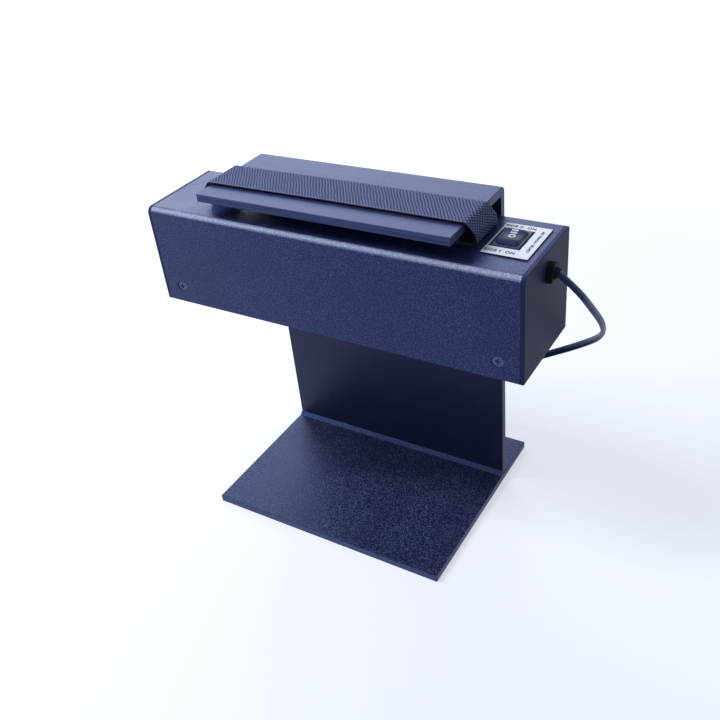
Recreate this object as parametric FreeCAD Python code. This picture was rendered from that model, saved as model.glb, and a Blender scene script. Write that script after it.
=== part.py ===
"""Two-tube ultraviolet inspection lamp, hanging by its hand strap on a stand of bent plastic sheet.

Millimetres. +X runs along the lamp to its cord end, +Y to the back, +Z up. The origin is on the
floor, under the middle of the lamp and of the base plate.
"""
import FreeCAD
import Part
import math
import os

Vector = FreeCAD.Vector
X_AXIS = Vector(1, 0, 0)
Y_AXIS = Vector(0, 1, 0)
Z_AXIS = Vector(0, 0, 1)

# Clearances and fits
rest_gap = 0.5
slide_gap = 0.4
tray_gap = 0.3
rocker_gap = 0.3
pivot_gap = 0.05
screw_gap = 0.15
wire_hole_gap = 0.3
seat_gap = 0.4

# Stand: base plate, and one sheet bent into the upright and the carrying plate
base_margin = 0.5
base_depth = 166.0
base_thickness = 6.0
bracket_margin = 50.3
bracket_thickness = 6.0
bend_outer_radius = 4.0
plate_gap = 12.5
plate_setback = 0.0
weld_leg = 3.0
edge_break = 0.4
stand_shift = 2.5

# Lamp housing: folded cover with flat end plates
housing_length = 300.0
housing_depth = 75.0
housing_height = 77.5
housing_floor_gap = 161.0
cover_wall = 3.0
cover_round = 5.0
cover_back_round = 2.0
end_wall = 3.0
end_plate_edge = 0.3
end_plate_seam = 0.1

# Screws that hold the tray in the cover
cover_screw_inset = 17.8
cover_screw_height = 13.5
cover_screw_radius = 2.0
cover_screw_head_radius = 4.0
cover_screw_head_depth = 2.0
cover_screw_sink = 0.4
cover_screw_rim_gap = 0.45
cover_screw_length = 11.5
cross_recess_width = 1.1
cross_recess_length = 4.6
cross_recess_depth = 1.2
weld_nut_radius = 4.5
weld_nut_length = 5.0

# Tray of folded aluminium with the filter window
tray_sheet = 1.5
tray_recess = 1.0
tray_height = 34.0
window_length = 204.0
window_width = 48.0
filter_overlap = 3.0
filter_thickness = 4.0
clip_length = 10.0
clip_sheet = 0.8
clip_foot = 3.5
clip_lip = 2.0
clip_places = (-75.0, 75.0)

# Ultraviolet tubes with two-pin caps, and their holders
tube_radius = 7.75
tube_wall = 0.8
tube_length = 212.0
tube_spacing = 30.0
tube_axis_height = 18.0
cap_radius = 8.0
cap_depth = 8.0
cap_end = 2.0
pin_radius = 1.18
pin_spacing = 4.75
pin_length = 7.0
holder_thickness = 9.0
holder_width = 17.0
holder_height = 28.0

# Reflector and the gear plate above it
reflector_length = 208.0
reflector_sheet = 1.0
reflector_half_width = 31.0
reflector_shoulder = 25.5
reflector_skirt = 17.0
ridge_half_width = 5.0
ridge_drop = 11.0
gear_plate_margin = 6.7
gear_plate_sheet = 1.5
gear_tab_length = 14.0
gear_tab_depth = 8.0
gear_tab_place = 120.0
rivet_radius = 1.5
wire_notch_length = 10.0
wire_notch_width = 14.0
wire_notch_gap = 12.6

# Ballast, starters and terminal block on the gear plate
ballast_length = 98.0
ballast_width = 38.0
ballast_height = 28.0
ballast_place = -31.0
ballast_foot_length = 8.0
ballast_foot_sheet = 1.5
ballast_screw_radius = 2.0
ballast_screw_head_radius = 3.5
ballast_screw_head_height = 2.4
starter_radius = 10.75
starter_length = 36.0
starter_spacing = 28.0
starter_place = 45.0
starter_socket_thickness = 6.0
starter_socket_width = 23.0
starter_foot = 3.0
terminal_length = 16.0
terminal_height = 13.0
terminal_pitch = 8.0
terminal_poles = 5
terminal_place = 100.0
terminal_hole_height = 5.5

# Three-position rocker switch in the top of the cover
switch_inset = 26.5
switch_place_y = 6.0
bezel_lip_side = 0.8
bezel_lip_end = 1.0
bezel_height = 1.5
bezel_edge = 0.5
switch_side_wall = 3.0
switch_end_wall = 0.65
switch_body_depth = 18.0
switch_floor = 1.5
rocker_width = 11.0
rocker_foot_length = 19.6
rocker_top_length = 14.6
rocker_end_rise = 2.9
rocker_dish = 1.7
rocker_skirt = 3.5
rocker_corner = 1.8
rocker_keel_width = 5.2
rocker_keel_depth = 7.5
pivot_drop = 3.0
pivot_radius = 1.2
pivot_reach = 2.2
plunger_radius = 1.25
plunger_length = 8.0
contact_length = 16.0
contact_width = 4.0
contact_sheet = 0.8
contact_pad_radius = 1.5
contact_pad_height = 0.8
contact_roll_radius = 0.6
blade_width = 6.3
blade_thickness = 0.8
blade_drop = 8.0
blade_spacing = 7.0

# White plate round the switch
label_width = 31.4
label_length = 43.0
label_thickness = 1.0
label_shift_x = 3.8
label_shift_y = -1.3
label_gap = 1.0

# Elastic hand strap, its clamps and their screws
strap_width = 32.0
strap_thickness = 1.7
strap_top_y = -3.5
strap_foot_y = 5.5
strap_spread = 12.0
strap_fold_radius = 2.0
strap_shoulder_radius = 2.0
strap_foot_length = 27.0
clamp_inset = 21.0
clamp_width = 9.0
clamp_length = 34.0
clamp_thickness = 2.2
clamp_screw_spacing = 18.0
clamp_screw_radius = 1.5
clamp_screw_head_radius = 2.8
clamp_screw_head_height = 2.2
clamp_nut_radius = 3.2
clamp_nut_height = 2.4

# Mains lead: bush, cord, coil, tie and plug
cord_width = 5.4
bush_y = 2.2
bush_drop = 16.0
bush_flange_radius = 7.2
bush_flange = 4.5
bush_shank_radius = 4.7
bush_nose_base_radius = 4.3
bush_nose_tip_radius = 3.6
bush_nose = 3.5
bush_inside = 9.0
core_radius = 1.1
core_spacing = 2.6
coil_place_x = -4.0
coil_clear = 9.25
coil_lift = 1.3
coil_mid_radius = 30.0
coil_turns_per_layer = 1.75
coil_layers = 4
coil_turn_gap = 0.6
tie_thickness = 1.0
tie_width = 5.0
tie_gap = 0.4
plug_face_width = 34.0
plug_waist_width = 25.0
plug_neck_width = 13.0
plug_thickness = 13.6
plug_neck_thickness = 10.0
plug_face_length = 10.0
plug_body_length = 32.0
plug_corner = 3.0
plug_sleeve_length = 18.0
plug_sleeve_tip_radius = 3.5
plug_sleeve_base_radius = 4.6
plug_clear = 8.0
tail_reach = 59.0
plug_pin_radius = 2.0
plug_pin_length = 19.0
plug_pin_spacing = 18.6

# Places worked out from the sizes above
housing_bottom = housing_floor_gap
housing_top = housing_floor_gap + housing_height
half_length = housing_length / 2
half_depth = housing_depth / 2
inner_half_depth = half_depth - cover_wall
inner_half_length = half_length - end_wall
upright_front = half_depth + rest_gap
upright_back = upright_front + bracket_thickness
bracket_width = housing_length - 2 * bracket_margin
base_width = bracket_width + 2 * base_margin
base_back = base_depth / 2
plate_underside = housing_top + plate_gap
bracket_height = plate_underside + bracket_thickness
plate_front = plate_setback - half_depth
plate_right = stand_shift + bracket_width / 2
plate_left = stand_shift - bracket_width / 2
tray_half_depth = inner_half_depth - tray_gap
tray_half_length = inner_half_length - tray_gap
tray_inner_half_depth = tray_half_depth - tray_sheet
tray_bottom = housing_bottom + tray_recess
tray_floor = tray_bottom + tray_sheet
tray_top = tray_bottom + tray_height
gear_floor = tray_top + gear_plate_sheet
screw_x = half_length - cover_screw_inset
screw_z = housing_bottom + cover_screw_height
tube_axis = tray_floor + tube_axis_height
gear_plate_length = 2 * (tray_half_length - gear_plate_margin)
wire_notch_place = tube_length / 2 + seat_gap + holder_thickness + wire_notch_gap
switch_place_x = half_length - switch_inset
bezel_top = housing_top + bezel_height
pivot_z = bezel_top - pivot_drop
rocker_skirt_z = bezel_top - rocker_skirt
keel_z = rocker_skirt_z - rocker_keel_depth
plunger_tip_z = keel_z - plunger_length / 3
contact_top = plunger_tip_z - seat_gap
contact_z = contact_top - contact_sheet
contact_pad_bottom = contact_z - contact_pad_height
switch_bottom = housing_top - switch_body_depth
switch_floor_top = switch_bottom + switch_floor
switch_cavity_width = rocker_width + 2 * rocker_gap
switch_cavity_length = 2 * math.hypot(rocker_foot_length / 2, pivot_drop) + 2 * rocker_gap
switch_body_width = switch_cavity_width + 2 * switch_side_wall
switch_body_length = switch_cavity_length + 2 * switch_end_wall
bezel_width = switch_body_width + 2 * bezel_lip_side
bezel_length = switch_body_length + 2 * bezel_lip_end
label_place_x = switch_place_x + label_shift_x
label_place_y = switch_place_y + label_shift_y
label_window_width = bezel_width + 2 * label_gap
label_window_length = bezel_length + 2 * label_gap
strap_fold_reach = bracket_width / 2 + strap_spread
strap_foot_end = strap_fold_reach - strap_foot_length
clamp_place = strap_fold_reach - clamp_inset
strap_top_z = bracket_height + slide_gap + strap_thickness / 2
strap_foot_z = housing_top + strap_thickness / 2
cord_radius = cord_width / 2
coil_pitch = cord_width + coil_turn_gap
coil_floor_z = coil_lift + cord_radius
coil_outer_radius = coil_mid_radius + coil_turns_per_layer * coil_pitch / 2
coil_inner_radius = coil_mid_radius - coil_turns_per_layer * coil_pitch / 2
coil_turns = coil_turns_per_layer * coil_layers
coil_top_z = coil_floor_z + (coil_layers - 1) * coil_pitch
cord_front_y = base_back + coil_clear
coil_place_y = cord_front_y + coil_outer_radius
bush_z = housing_top - bush_drop
bush_mouth_x = half_length + bush_flange + bush_nose
plug_run_y = base_back + plug_clear + plug_face_width / 2
plug_sleeve_end = coil_place_x - tail_reach
plug_axis_z = plug_thickness / 2

# The cord's route: down from the bush, round behind the stand, to the coil, and on to the plug
lead_start = Vector(bush_mouth_x - 1.0, bush_y, bush_z)
stand_corner = Vector(plate_right, base_back, 0)
lead_route = [
    lead_start,
    lead_start + Vector(12.5, 0.8, -10.5),
    lead_start + Vector(16.5, 13.8, -28.0),
    lead_start + Vector(19.5, 35.3, -53.5),
    lead_start + Vector(12.0, 60.3, -80.0),
    stand_corner + Vector(44.5, -5.0, 119.0),
    stand_corner + Vector(17.0, 3.0, 98.5),
    stand_corner + Vector(-15.5, 7.5, 77.5),
    stand_corner + Vector(-41.5, 11.5, 52.0),
    stand_corner + Vector(-59.5, 13.0, 25.0),
    Vector(coil_place_x + 29.0, cord_front_y, coil_floor_z),
    Vector(coil_place_x + cord_width, cord_front_y, coil_floor_z),
]
tail_route = [
    Vector(coil_place_x - cord_width, cord_front_y, coil_top_z),
    Vector(coil_place_x - 21.5, cord_front_y, coil_top_z),
    Vector(coil_place_x - 43.0, plug_run_y, plug_axis_z),
    Vector(plug_sleeve_end, plug_run_y, plug_axis_z),
]


def box(low, high):
    """A block between two corners."""
    size = [high[i] - low[i] for i in range(3)]
    return Part.makeBox(size[0], size[1], size[2], Vector(*low))


def rod(start, axis, length, radius):
    """A round bar from a point along an axis."""
    return Part.makeCylinder(radius, length, Vector(*start), axis)


def fuse(shapes):
    """One clean solid from pieces that touch or overlap."""
    result = shapes[0]
    for shape in shapes[1:]:
        result = result.fuse(shape)
    return result.removeSplitter()


def cut_all(shape, tools):
    """The shape with every tool cut away."""
    for tool in tools:
        shape = shape.cut(tool)
    return shape


def plate_from(points, direction):
    """A flat outline of straight edges, pushed out along a direction."""
    corners = [Vector(*p) for p in points]
    return Part.Face(Part.makePolygon(corners + corners[:1])).extrude(direction)


def unit(vector):
    """A vector's direction."""
    result = Vector(vector)
    result.normalize()
    return result


def arc_from_tangent(start, tangent, end):
    """The arc that leaves a point along a tangent and ends at another point."""
    chord = end - start
    turn = tangent.getAngle(chord)
    if turn < 1e-6:
        return Part.LineSegment(start, end).toShape()
    side = unit(chord - tangent * chord.dot(tangent))
    reach = chord.Length / (2 * math.cos(turn / 2))
    middle = start + (tangent * math.cos(turn / 2) + side * math.sin(turn / 2)) * reach
    return Part.Arc(start, middle, end).toShape()


def rounded_path(route, radii=None):
    """Straight runs joined by tangent arcs, each as large as its two runs allow or as given."""
    edges = []
    used = []
    last = route[0]
    for i in range(1, len(route) - 1):
        before = route[i] - route[i - 1]
        after = route[i + 1] - route[i]
        half_turn = before.getAngle(after) / 2
        shorter = min(before.Length, after.Length)
        radius = radii[i - 1] if radii else 0.45 * shorter / math.tan(half_turn)
        used.append(radius)
        setback = radius * math.tan(half_turn)
        arc_start = route[i] - unit(before) * setback
        arc_end = route[i] + unit(after) * setback
        edges.append(Part.LineSegment(last, arc_start).toShape())
        edges.append(arc_from_tangent(arc_start, unit(before), arc_end))
        last = arc_end
    edges.append(Part.LineSegment(last, route[-1]).toShape())
    return Part.Wire(edges), used


def tube_on(path, radius):
    """A round tube along a path, with its volume compared with section times length."""
    start = path.OrderedEdges[0]
    tangent = start.tangentAt(start.FirstParameter)
    circle = Part.Wire(Part.makeCircle(radius, start.valueAt(start.FirstParameter), tangent))
    tube = path.makePipeShell([circle], True, False)
    expected = math.pi * radius ** 2 * path.Length
    return tube, tube.Volume / expected


def wire_run(route, radius):
    """An insulated wire with small bends along a route inside the housing."""
    tube, _ = tube_on(rounded_path([Vector(*p) for p in route])[0], radius)
    return tube


def band(points, radii, thickness):
    """A strip's outline in the XZ plane: a middle line with rounded corners and a thickness."""
    route = [Vector(x, 0, z) for x, z in points]
    sides = ([], [])
    last = [None, None]
    for i in range(len(route)):
        before = unit(route[i] - route[i - 1]) if i else unit(route[1] - route[0])
        after = unit(route[i + 1] - route[i]) if i < len(route) - 1 else before
        for side, sign in ((0, 1), (1, -1)):
            across_before = Vector(-before.z, 0, before.x) * (sign * thickness / 2)
            across_after = Vector(-after.z, 0, after.x) * (sign * thickness / 2)
            if i in (0, len(route) - 1):
                arc_start = arc_end = route[i] + across_before
            else:
                setback = radii[i - 1] * math.tan(before.getAngle(after) / 2)
                arc_start = route[i] - before * setback + across_before
                arc_end = route[i] + after * setback + across_after
            if last[side] is not None:
                sides[side].append(Part.LineSegment(last[side], arc_start).toShape())
            if i not in (0, len(route) - 1):
                sides[side].append(arc_from_tangent(arc_start, before, arc_end))
            last[side] = arc_end
    ends = []
    for parameter in ("FirstParameter", "LastParameter"):
        pair = [edges[0 if parameter == "FirstParameter" else -1] for edges in sides]
        tips = [edge.valueAt(getattr(edge, parameter)) for edge in pair]
        ends.append(Part.LineSegment(tips[0], tips[1]).toShape())
    return Part.Face(Part.Wire(Part.__sortEdges__(sides[0] + sides[1] + ends)))


def round_top_block(x_low, x_high, inset, bottom):
    """The housing's outline, drawn in by an inset, with its long top edges rounded."""
    block = box(
        (x_low, inset - half_depth, bottom), (x_high, half_depth - inset, housing_top - inset)
    )
    for side, radius in ((-1, cover_round), (1, cover_back_round)):
        if radius > inset:
            middle = Vector((x_low + x_high) / 2, side * (half_depth - inset), housing_top - inset)
            edges = [edge for edge in block.Edges if edge.CenterOfMass.isEqual(middle, 1e-6)]
            block = block.makeFillet(radius - inset, edges)
    return block


def base_plate():
    """The sawn sheet that the stand rests on."""
    low = (stand_shift - base_width / 2, -base_depth / 2, 0)
    high = (stand_shift + base_width / 2, base_depth / 2, base_thickness)
    plate = box(low, high)
    return plate.makeChamfer(edge_break, plate.Edges)


def stand_bracket():
    """One sheet: the upright, bent forward at the top into the carrying plate."""
    upright = box((plate_left, upright_front, base_thickness), (plate_right, upright_back, bracket_height))
    plate = box((plate_left, plate_front, plate_underside), (plate_right, upright_back, bracket_height))
    sheet = fuse([upright, plate])
    outer = [
        edge for edge in sheet.Edges
        if abs(edge.CenterOfMass.y - upright_back) < 1e-6
        and abs(edge.CenterOfMass.z - bracket_height) < 1e-6
    ]
    sheet = sheet.makeFillet(bend_outer_radius, outer)
    sawn = []
    for edge in sheet.Edges:
        middle = edge.CenterOfMass
        at_foot = abs(middle.z - base_thickness) < 1e-6
        at_inner_bend = abs(middle.y - upright_front) < 1e-6 and abs(middle.z - plate_underside) < 1e-6
        along_bend = edge.Length > bracket_width - 1 and middle.y > upright_front
        if not (at_foot or at_inner_bend or along_bend):
            sawn.append(edge)
    return sheet.makeChamfer(edge_break, sawn)


def weld_beads():
    """Two cement fillets, before and behind the upright's foot."""
    beads = []
    for face, way in ((upright_front, -1), (upright_back, 1)):
        points = [
            (plate_left, face, base_thickness),
            (plate_left, face + way * weld_leg, base_thickness),
            (plate_left, face, base_thickness + weld_leg),
        ]
        beads.append(plate_from(points, Vector(bracket_width, 0, 0)))
    return Part.makeCompound(beads)


def cover_screw_points():
    """Each tray screw's place on the cover and the way that it goes in."""
    return [(x, y, way) for x in (-screw_x, screw_x) for y, way in ((-half_depth, 1), (half_depth, -1))]


def clamp_screw_points():
    """Each strap screw's place on the housing's top."""
    spots = []
    for x in (-clamp_place, clamp_place):
        for y in (-clamp_screw_spacing / 2, clamp_screw_spacing / 2):
            spots.append((x, strap_foot_y + y))
    return spots


def screw_head(x, y, inward):
    """A countersunk head's cone, sunk a little below the cover's face."""
    start = Vector(x, y, screw_z) + inward * cover_screw_sink
    return Part.makeCone(
        cover_screw_head_radius, cover_screw_radius, cover_screw_head_depth, start, inward
    )


def housing_cover():
    """Folded sheet, open below, with the switch's cut-out and countersunk screw holes."""
    outer = round_top_block(-inner_half_length, inner_half_length, 0, housing_bottom)
    inner = round_top_block(-inner_half_length, inner_half_length, cover_wall, housing_bottom)
    tools = [inner]
    half_w = switch_body_width / 2 + screw_gap
    half_l = switch_body_length / 2 + screw_gap
    tools.append(box(
        (switch_place_x - half_w, switch_place_y - half_l, housing_top - 2 * cover_wall),
        (switch_place_x + half_w, switch_place_y + half_l, housing_top + 1),
    ))
    for x, y, way in cover_screw_points():
        inward = Y_AXIS * way
        rim_radius = cover_screw_head_radius + cover_screw_rim_gap
        tools.append(rod((x, y, screw_z), inward, cover_wall, cover_screw_radius + screw_gap))
        tools.append(rod((x, y, screw_z), inward, cover_screw_sink + cover_screw_rim_gap, rim_radius))
        tools.append(screw_head(x, y, inward))
    for x, y in clamp_screw_points():
        hole = clamp_screw_radius + screw_gap
        tools.append(rod((x, y, housing_top - cover_wall), Z_AXIS, cover_wall, hole))
    return cut_all(outer, tools)


def end_plate(side):
    """A flat plate that closes one end. The right one has the hole for the cord's bush."""
    near = side * inner_half_length
    far = side * half_length
    plate = round_top_block(min(near, far), max(near, far), 0, housing_bottom)
    for x, width in ((far, end_plate_edge), (near, end_plate_seam)):
        rim = [edge for edge in plate.Edges if abs(edge.CenterOfMass.x - x) < 1e-6]
        plate = plate.makeChamfer(width, rim)
    if side < 0:
        return plate
    return plate.cut(rod((inner_half_length, bush_y, bush_z), X_AXIS, end_wall, bush_shank_radius))


def cover_screws():
    """Four countersunk screws with a cross recess."""
    screws = []
    half_w = cross_recess_width / 2
    half_l = cross_recess_length / 2
    for x, y, way in cover_screw_points():
        inward = Y_AXIS * way
        face = y + way * cover_screw_sink
        bottom = face + way * cross_recess_depth
        shank = rod((x, face, screw_z), inward, cover_screw_length, cover_screw_radius)
        slots = []
        for across, along in ((half_w, half_l), (half_l, half_w)):
            slots.append(box(
                (x - across, min(face, bottom), screw_z - along),
                (x + across, max(face, bottom), screw_z + along),
            ))
        screws.append(cut_all(fuse([screw_head(x, y, inward), shank]), slots))
    return Part.makeCompound(screws)


def lamp_tray():
    """Folded aluminium channel with the filter's window, screwed in from below."""
    outer = box(
        (-tray_half_length, -tray_half_depth, tray_bottom),
        (tray_half_length, tray_half_depth, tray_top),
    )
    space = box(
        (-tray_half_length, -tray_inner_half_depth, tray_floor),
        (tray_half_length, tray_inner_half_depth, tray_top),
    )
    window = box(
        (-window_length / 2, -window_width / 2, tray_bottom),
        (window_length / 2, window_width / 2, tray_floor),
    )
    tools = [space, window]
    for x, y, way in cover_screw_points():
        start = (x, -way * tray_half_depth, screw_z)
        tools.append(rod(start, Y_AXIS * way, tray_sheet, cover_screw_radius + screw_gap))
    for x in (-gear_tab_place, gear_tab_place):
        for way in (-1, 1):
            start = (x, way * tray_half_depth, tray_top - gear_tab_depth / 2)
            tools.append(rod(start, Y_AXIS * -way, tray_sheet, rivet_radius))
    return cut_all(outer, tools)


def tray_nuts():
    """Four round weld nuts inside the tray's walls."""
    nuts = []
    for x, y, way in cover_screw_points():
        start = (x, -way * tray_inner_half_depth, screw_z)
        body = rod(start, Y_AXIS * way, weld_nut_length, weld_nut_radius)
        nuts.append(body.cut(rod(start, Y_AXIS * way, weld_nut_length, cover_screw_radius)))
    return Part.makeCompound(nuts)


filter_half_length = window_length / 2 + filter_overlap
filter_half_width = window_width / 2 + filter_overlap
filter_top = tray_floor + filter_thickness


def filter_glass():
    """Dark ultraviolet glass that lies over the window."""
    low = (-filter_half_length, -filter_half_width, tray_floor)
    return box(low, (filter_half_length, filter_half_width, filter_top))


def filter_clips():
    """Four folded spring clips that hold the glass down."""
    clips = []
    for x in clip_places:
        for way in (-1, 1):
            edge = filter_half_width
            points = [
                (edge + clip_foot, tray_floor), (edge, tray_floor), (edge, filter_top),
                (edge - clip_lip, filter_top), (edge - clip_lip, filter_top + clip_sheet),
                (edge + clip_sheet, filter_top + clip_sheet), (edge + clip_sheet, tray_floor + clip_sheet),
                (edge + clip_foot, tray_floor + clip_sheet),
            ]
            outline = [(x - clip_length / 2, way * y, z) for y, z in points]
            clips.append(plate_from(outline, Vector(clip_length, 0, 0)))
    return Part.makeCompound(clips)


def tube_glass(y):
    """A sealed glass tube."""
    length = tube_length - 2 * cap_end
    start = (-length / 2, y, tube_axis)
    outside = rod(start, X_AXIS, length, tube_radius)
    inner_start = (-length / 2 + tube_wall, y, tube_axis)
    inside = rod(inner_start, X_AXIS, length - 2 * tube_wall, tube_radius - tube_wall)
    return outside.cut(inside)


def tube_caps(y):
    """Two aluminium caps, each with its pair of contact pins."""
    caps = []
    for way in (-1, 1):
        face = way * tube_length / 2
        body = rod((face, y, tube_axis), X_AXIS * -way, cap_depth, cap_radius)
        bore = rod((face - way * cap_end, y, tube_axis), X_AXIS * -way, cap_depth - cap_end, tube_radius)
        parts = [body.cut(bore)]
        for offset in (-pin_spacing / 2, pin_spacing / 2):
            parts.append(rod((face, y, tube_axis + offset), X_AXIS * way, pin_length, pin_radius))
        caps.append(fuse(parts))
    return Part.makeCompound(caps)


def tube_holder(way, y):
    """A moulded holder on the tray's floor, with two sockets for a tube's pins."""
    near = way * (tube_length / 2 + seat_gap)
    far = near + way * holder_thickness
    body = box(
        (min(near, far), y - holder_width / 2, tray_floor),
        (max(near, far), y + holder_width / 2, tray_floor + holder_height),
    )
    holes = []
    for offset in (-pin_spacing / 2, pin_spacing / 2):
        start = (near, y, tube_axis + offset)
        holes.append(rod(start, X_AXIS * way, holder_thickness, pin_radius))
    return cut_all(body, holes)


def reflector():
    """Bright sheet with two troughs and a ridge between the tubes."""
    flat = tray_top - reflector_sheet
    under = [
        (-reflector_half_width, flat - reflector_skirt), (-reflector_shoulder, flat),
        (-ridge_half_width, flat), (0, flat - ridge_drop), (ridge_half_width, flat),
        (reflector_shoulder, flat), (reflector_half_width, flat - reflector_skirt),
    ]
    over = [(y, z + reflector_sheet) for y, z in reversed(under)]
    outline = [(-reflector_length / 2, y, z) for y, z in under + over]
    return plate_from(outline, Vector(reflector_length, 0, 0))


def gear_plate():
    """Plate on the tray's walls that carries the ballast, starters and terminal block."""
    half = gear_plate_length / 2
    parts = [box((-half, -tray_half_depth, tray_top), (half, tray_half_depth, gear_floor))]
    tools = []
    for x in (-gear_tab_place, gear_tab_place):
        for way in (-1, 1):
            near = way * (tray_inner_half_depth - gear_plate_sheet)
            far = way * tray_inner_half_depth
            parts.append(box(
                (x - gear_tab_length / 2, min(near, far), tray_top - gear_tab_depth),
                (x + gear_tab_length / 2, max(near, far), tray_top),
            ))
            start = (x, far, tray_top - gear_tab_depth / 2)
            tools.append(rod(start, Y_AXIS * -way, gear_plate_sheet, rivet_radius))
    for x in (-wire_notch_place, wire_notch_place):
        for y in (-tube_spacing / 2, tube_spacing / 2):
            tools.append(box(
                (x - wire_notch_length / 2, y - wire_notch_width / 2, tray_top),
                (x + wire_notch_length / 2, y + wire_notch_width / 2, gear_floor),
            ))
    for x in ballast_screw_places():
        tools.append(rod((x, 0, tray_top), Z_AXIS, gear_plate_sheet, ballast_screw_radius))
    return cut_all(fuse(parts), tools)


def gear_rivets():
    """Four flush rivets through the plate's tabs and the tray's walls."""
    rivets = []
    for x in (-gear_tab_place, gear_tab_place):
        for way in (-1, 1):
            start = (x, way * tray_half_depth, tray_top - gear_tab_depth / 2)
            rivets.append(rod(start, Y_AXIS * -way, tray_sheet + gear_plate_sheet, rivet_radius))
    return Part.makeCompound(rivets)


def ballast_screw_places():
    """The two screws at the ballast's feet."""
    offset = ballast_length / 2 + ballast_foot_length / 2
    return (ballast_place - offset, ballast_place + offset)


def ballast():
    """Choke with a folded steel foot at each end."""
    half = ballast_length / 2
    foot = half + ballast_foot_length
    body = box(
        (ballast_place - half, -ballast_width / 2, gear_floor),
        (ballast_place + half, ballast_width / 2, gear_floor + ballast_height),
    )
    feet = box(
        (ballast_place - foot, -ballast_width / 2, gear_floor),
        (ballast_place + foot, ballast_width / 2, gear_floor + ballast_foot_sheet),
    )
    holes = []
    for x in ballast_screw_places():
        holes.append(rod((x, 0, gear_floor), Z_AXIS, ballast_foot_sheet, ballast_screw_radius))
    return cut_all(fuse([body, feet]), holes)


def ballast_screws():
    """Two pan-head screws through the feet into the gear plate."""
    screws = []
    for x in ballast_screw_places():
        head_z = gear_floor + ballast_foot_sheet
        head = rod((x, 0, head_z), Z_AXIS, ballast_screw_head_height, ballast_screw_head_radius)
        shank = rod((x, 0, tray_top), Z_AXIS, head_z - tray_top, ballast_screw_radius)
        screws.append(fuse([head, shank]))
    return Part.makeCompound(screws)


starter_axis = gear_floor + starter_foot + starter_radius
socket_x = starter_place + starter_length


def starter(y):
    """A glow starter's can, lying along the gear plate."""
    return rod((starter_place, y, starter_axis), X_AXIS, starter_length, starter_radius)


def starter_socket(y):
    """The starter's socket, standing on the gear plate, with a saddle under the can."""
    half = starter_socket_width / 2
    wall = box(
        (socket_x, y - half, gear_floor),
        (socket_x + starter_socket_thickness, y + half, starter_axis + starter_radius),
    )
    saddle = box((starter_place, y - half / 2, gear_floor), (socket_x, y + half / 2, starter_axis))
    return fuse([wall, saddle.cut(starter(y))])


def terminal_row():
    """The middle of each pole across the terminal block."""
    first = -(terminal_poles - 1) / 2 * terminal_pitch
    return [first + i * terminal_pitch for i in range(terminal_poles)]


terminal_right = terminal_place + terminal_length / 2
terminal_hole_z = gear_floor + terminal_hole_height


def terminal_block():
    """A strip of screw terminals with a wire hole through each pole."""
    half = terminal_poles * terminal_pitch / 2
    body = box(
        (terminal_right - terminal_length, -half, gear_floor),
        (terminal_right, half, gear_floor + terminal_height),
    )
    holes = []
    for y in terminal_row():
        start = (terminal_right - terminal_length, y, terminal_hole_z)
        holes.append(rod(start, X_AXIS, terminal_length, core_radius + wire_hole_gap))
        top = (terminal_place, y, gear_floor + terminal_hole_height)
        holes.append(rod(top, Z_AXIS, terminal_height, core_radius + 2 * wire_hole_gap))
    return cut_all(body, holes)


def switch_body():
    """The switch's moulding: bezel on the cover, box below it, bearings for the rocker."""
    x, y = switch_place_x, switch_place_y
    bezel = box(
        (x - bezel_width / 2, y - bezel_length / 2, housing_top),
        (x + bezel_width / 2, y + bezel_length / 2, bezel_top),
    )
    rim = [edge for edge in bezel.Edges if abs(edge.CenterOfMass.z - bezel_top) < 1e-6]
    bezel = bezel.makeChamfer(bezel_edge, rim)
    body = box(
        (x - switch_body_width / 2, y - switch_body_length / 2, switch_bottom),
        (x + switch_body_width / 2, y + switch_body_length / 2, housing_top),
    )
    tools = [box(
        (x - switch_cavity_width / 2, y - switch_cavity_length / 2, switch_floor_top),
        (x + switch_cavity_width / 2, y + switch_cavity_length / 2, bezel_top),
    )]
    bearing = switch_cavity_width / 2 + pivot_reach
    tools.append(rod((x - bearing, y, pivot_z), X_AXIS, 2 * bearing, pivot_radius + pivot_gap))
    tools += [blade.copy() for blade in switch_blades()]
    return cut_all(fuse([bezel, body]), tools)


def switch_blades():
    """Three flat terminals through the switch's floor, the middle one under the contact's pivot."""
    blades = []
    for place in (-1, 0, 1):
        top = switch_floor_top + blade_thickness
        if place == 0:
            top = contact_z - contact_roll_radius - seat_gap
        y = switch_place_y + place * blade_spacing
        blades.append(box(
            (switch_place_x - blade_width / 2, y - blade_thickness / 2, switch_bottom - blade_drop),
            (switch_place_x + blade_width / 2, y + blade_thickness / 2, top),
        ))
    return blades


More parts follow.
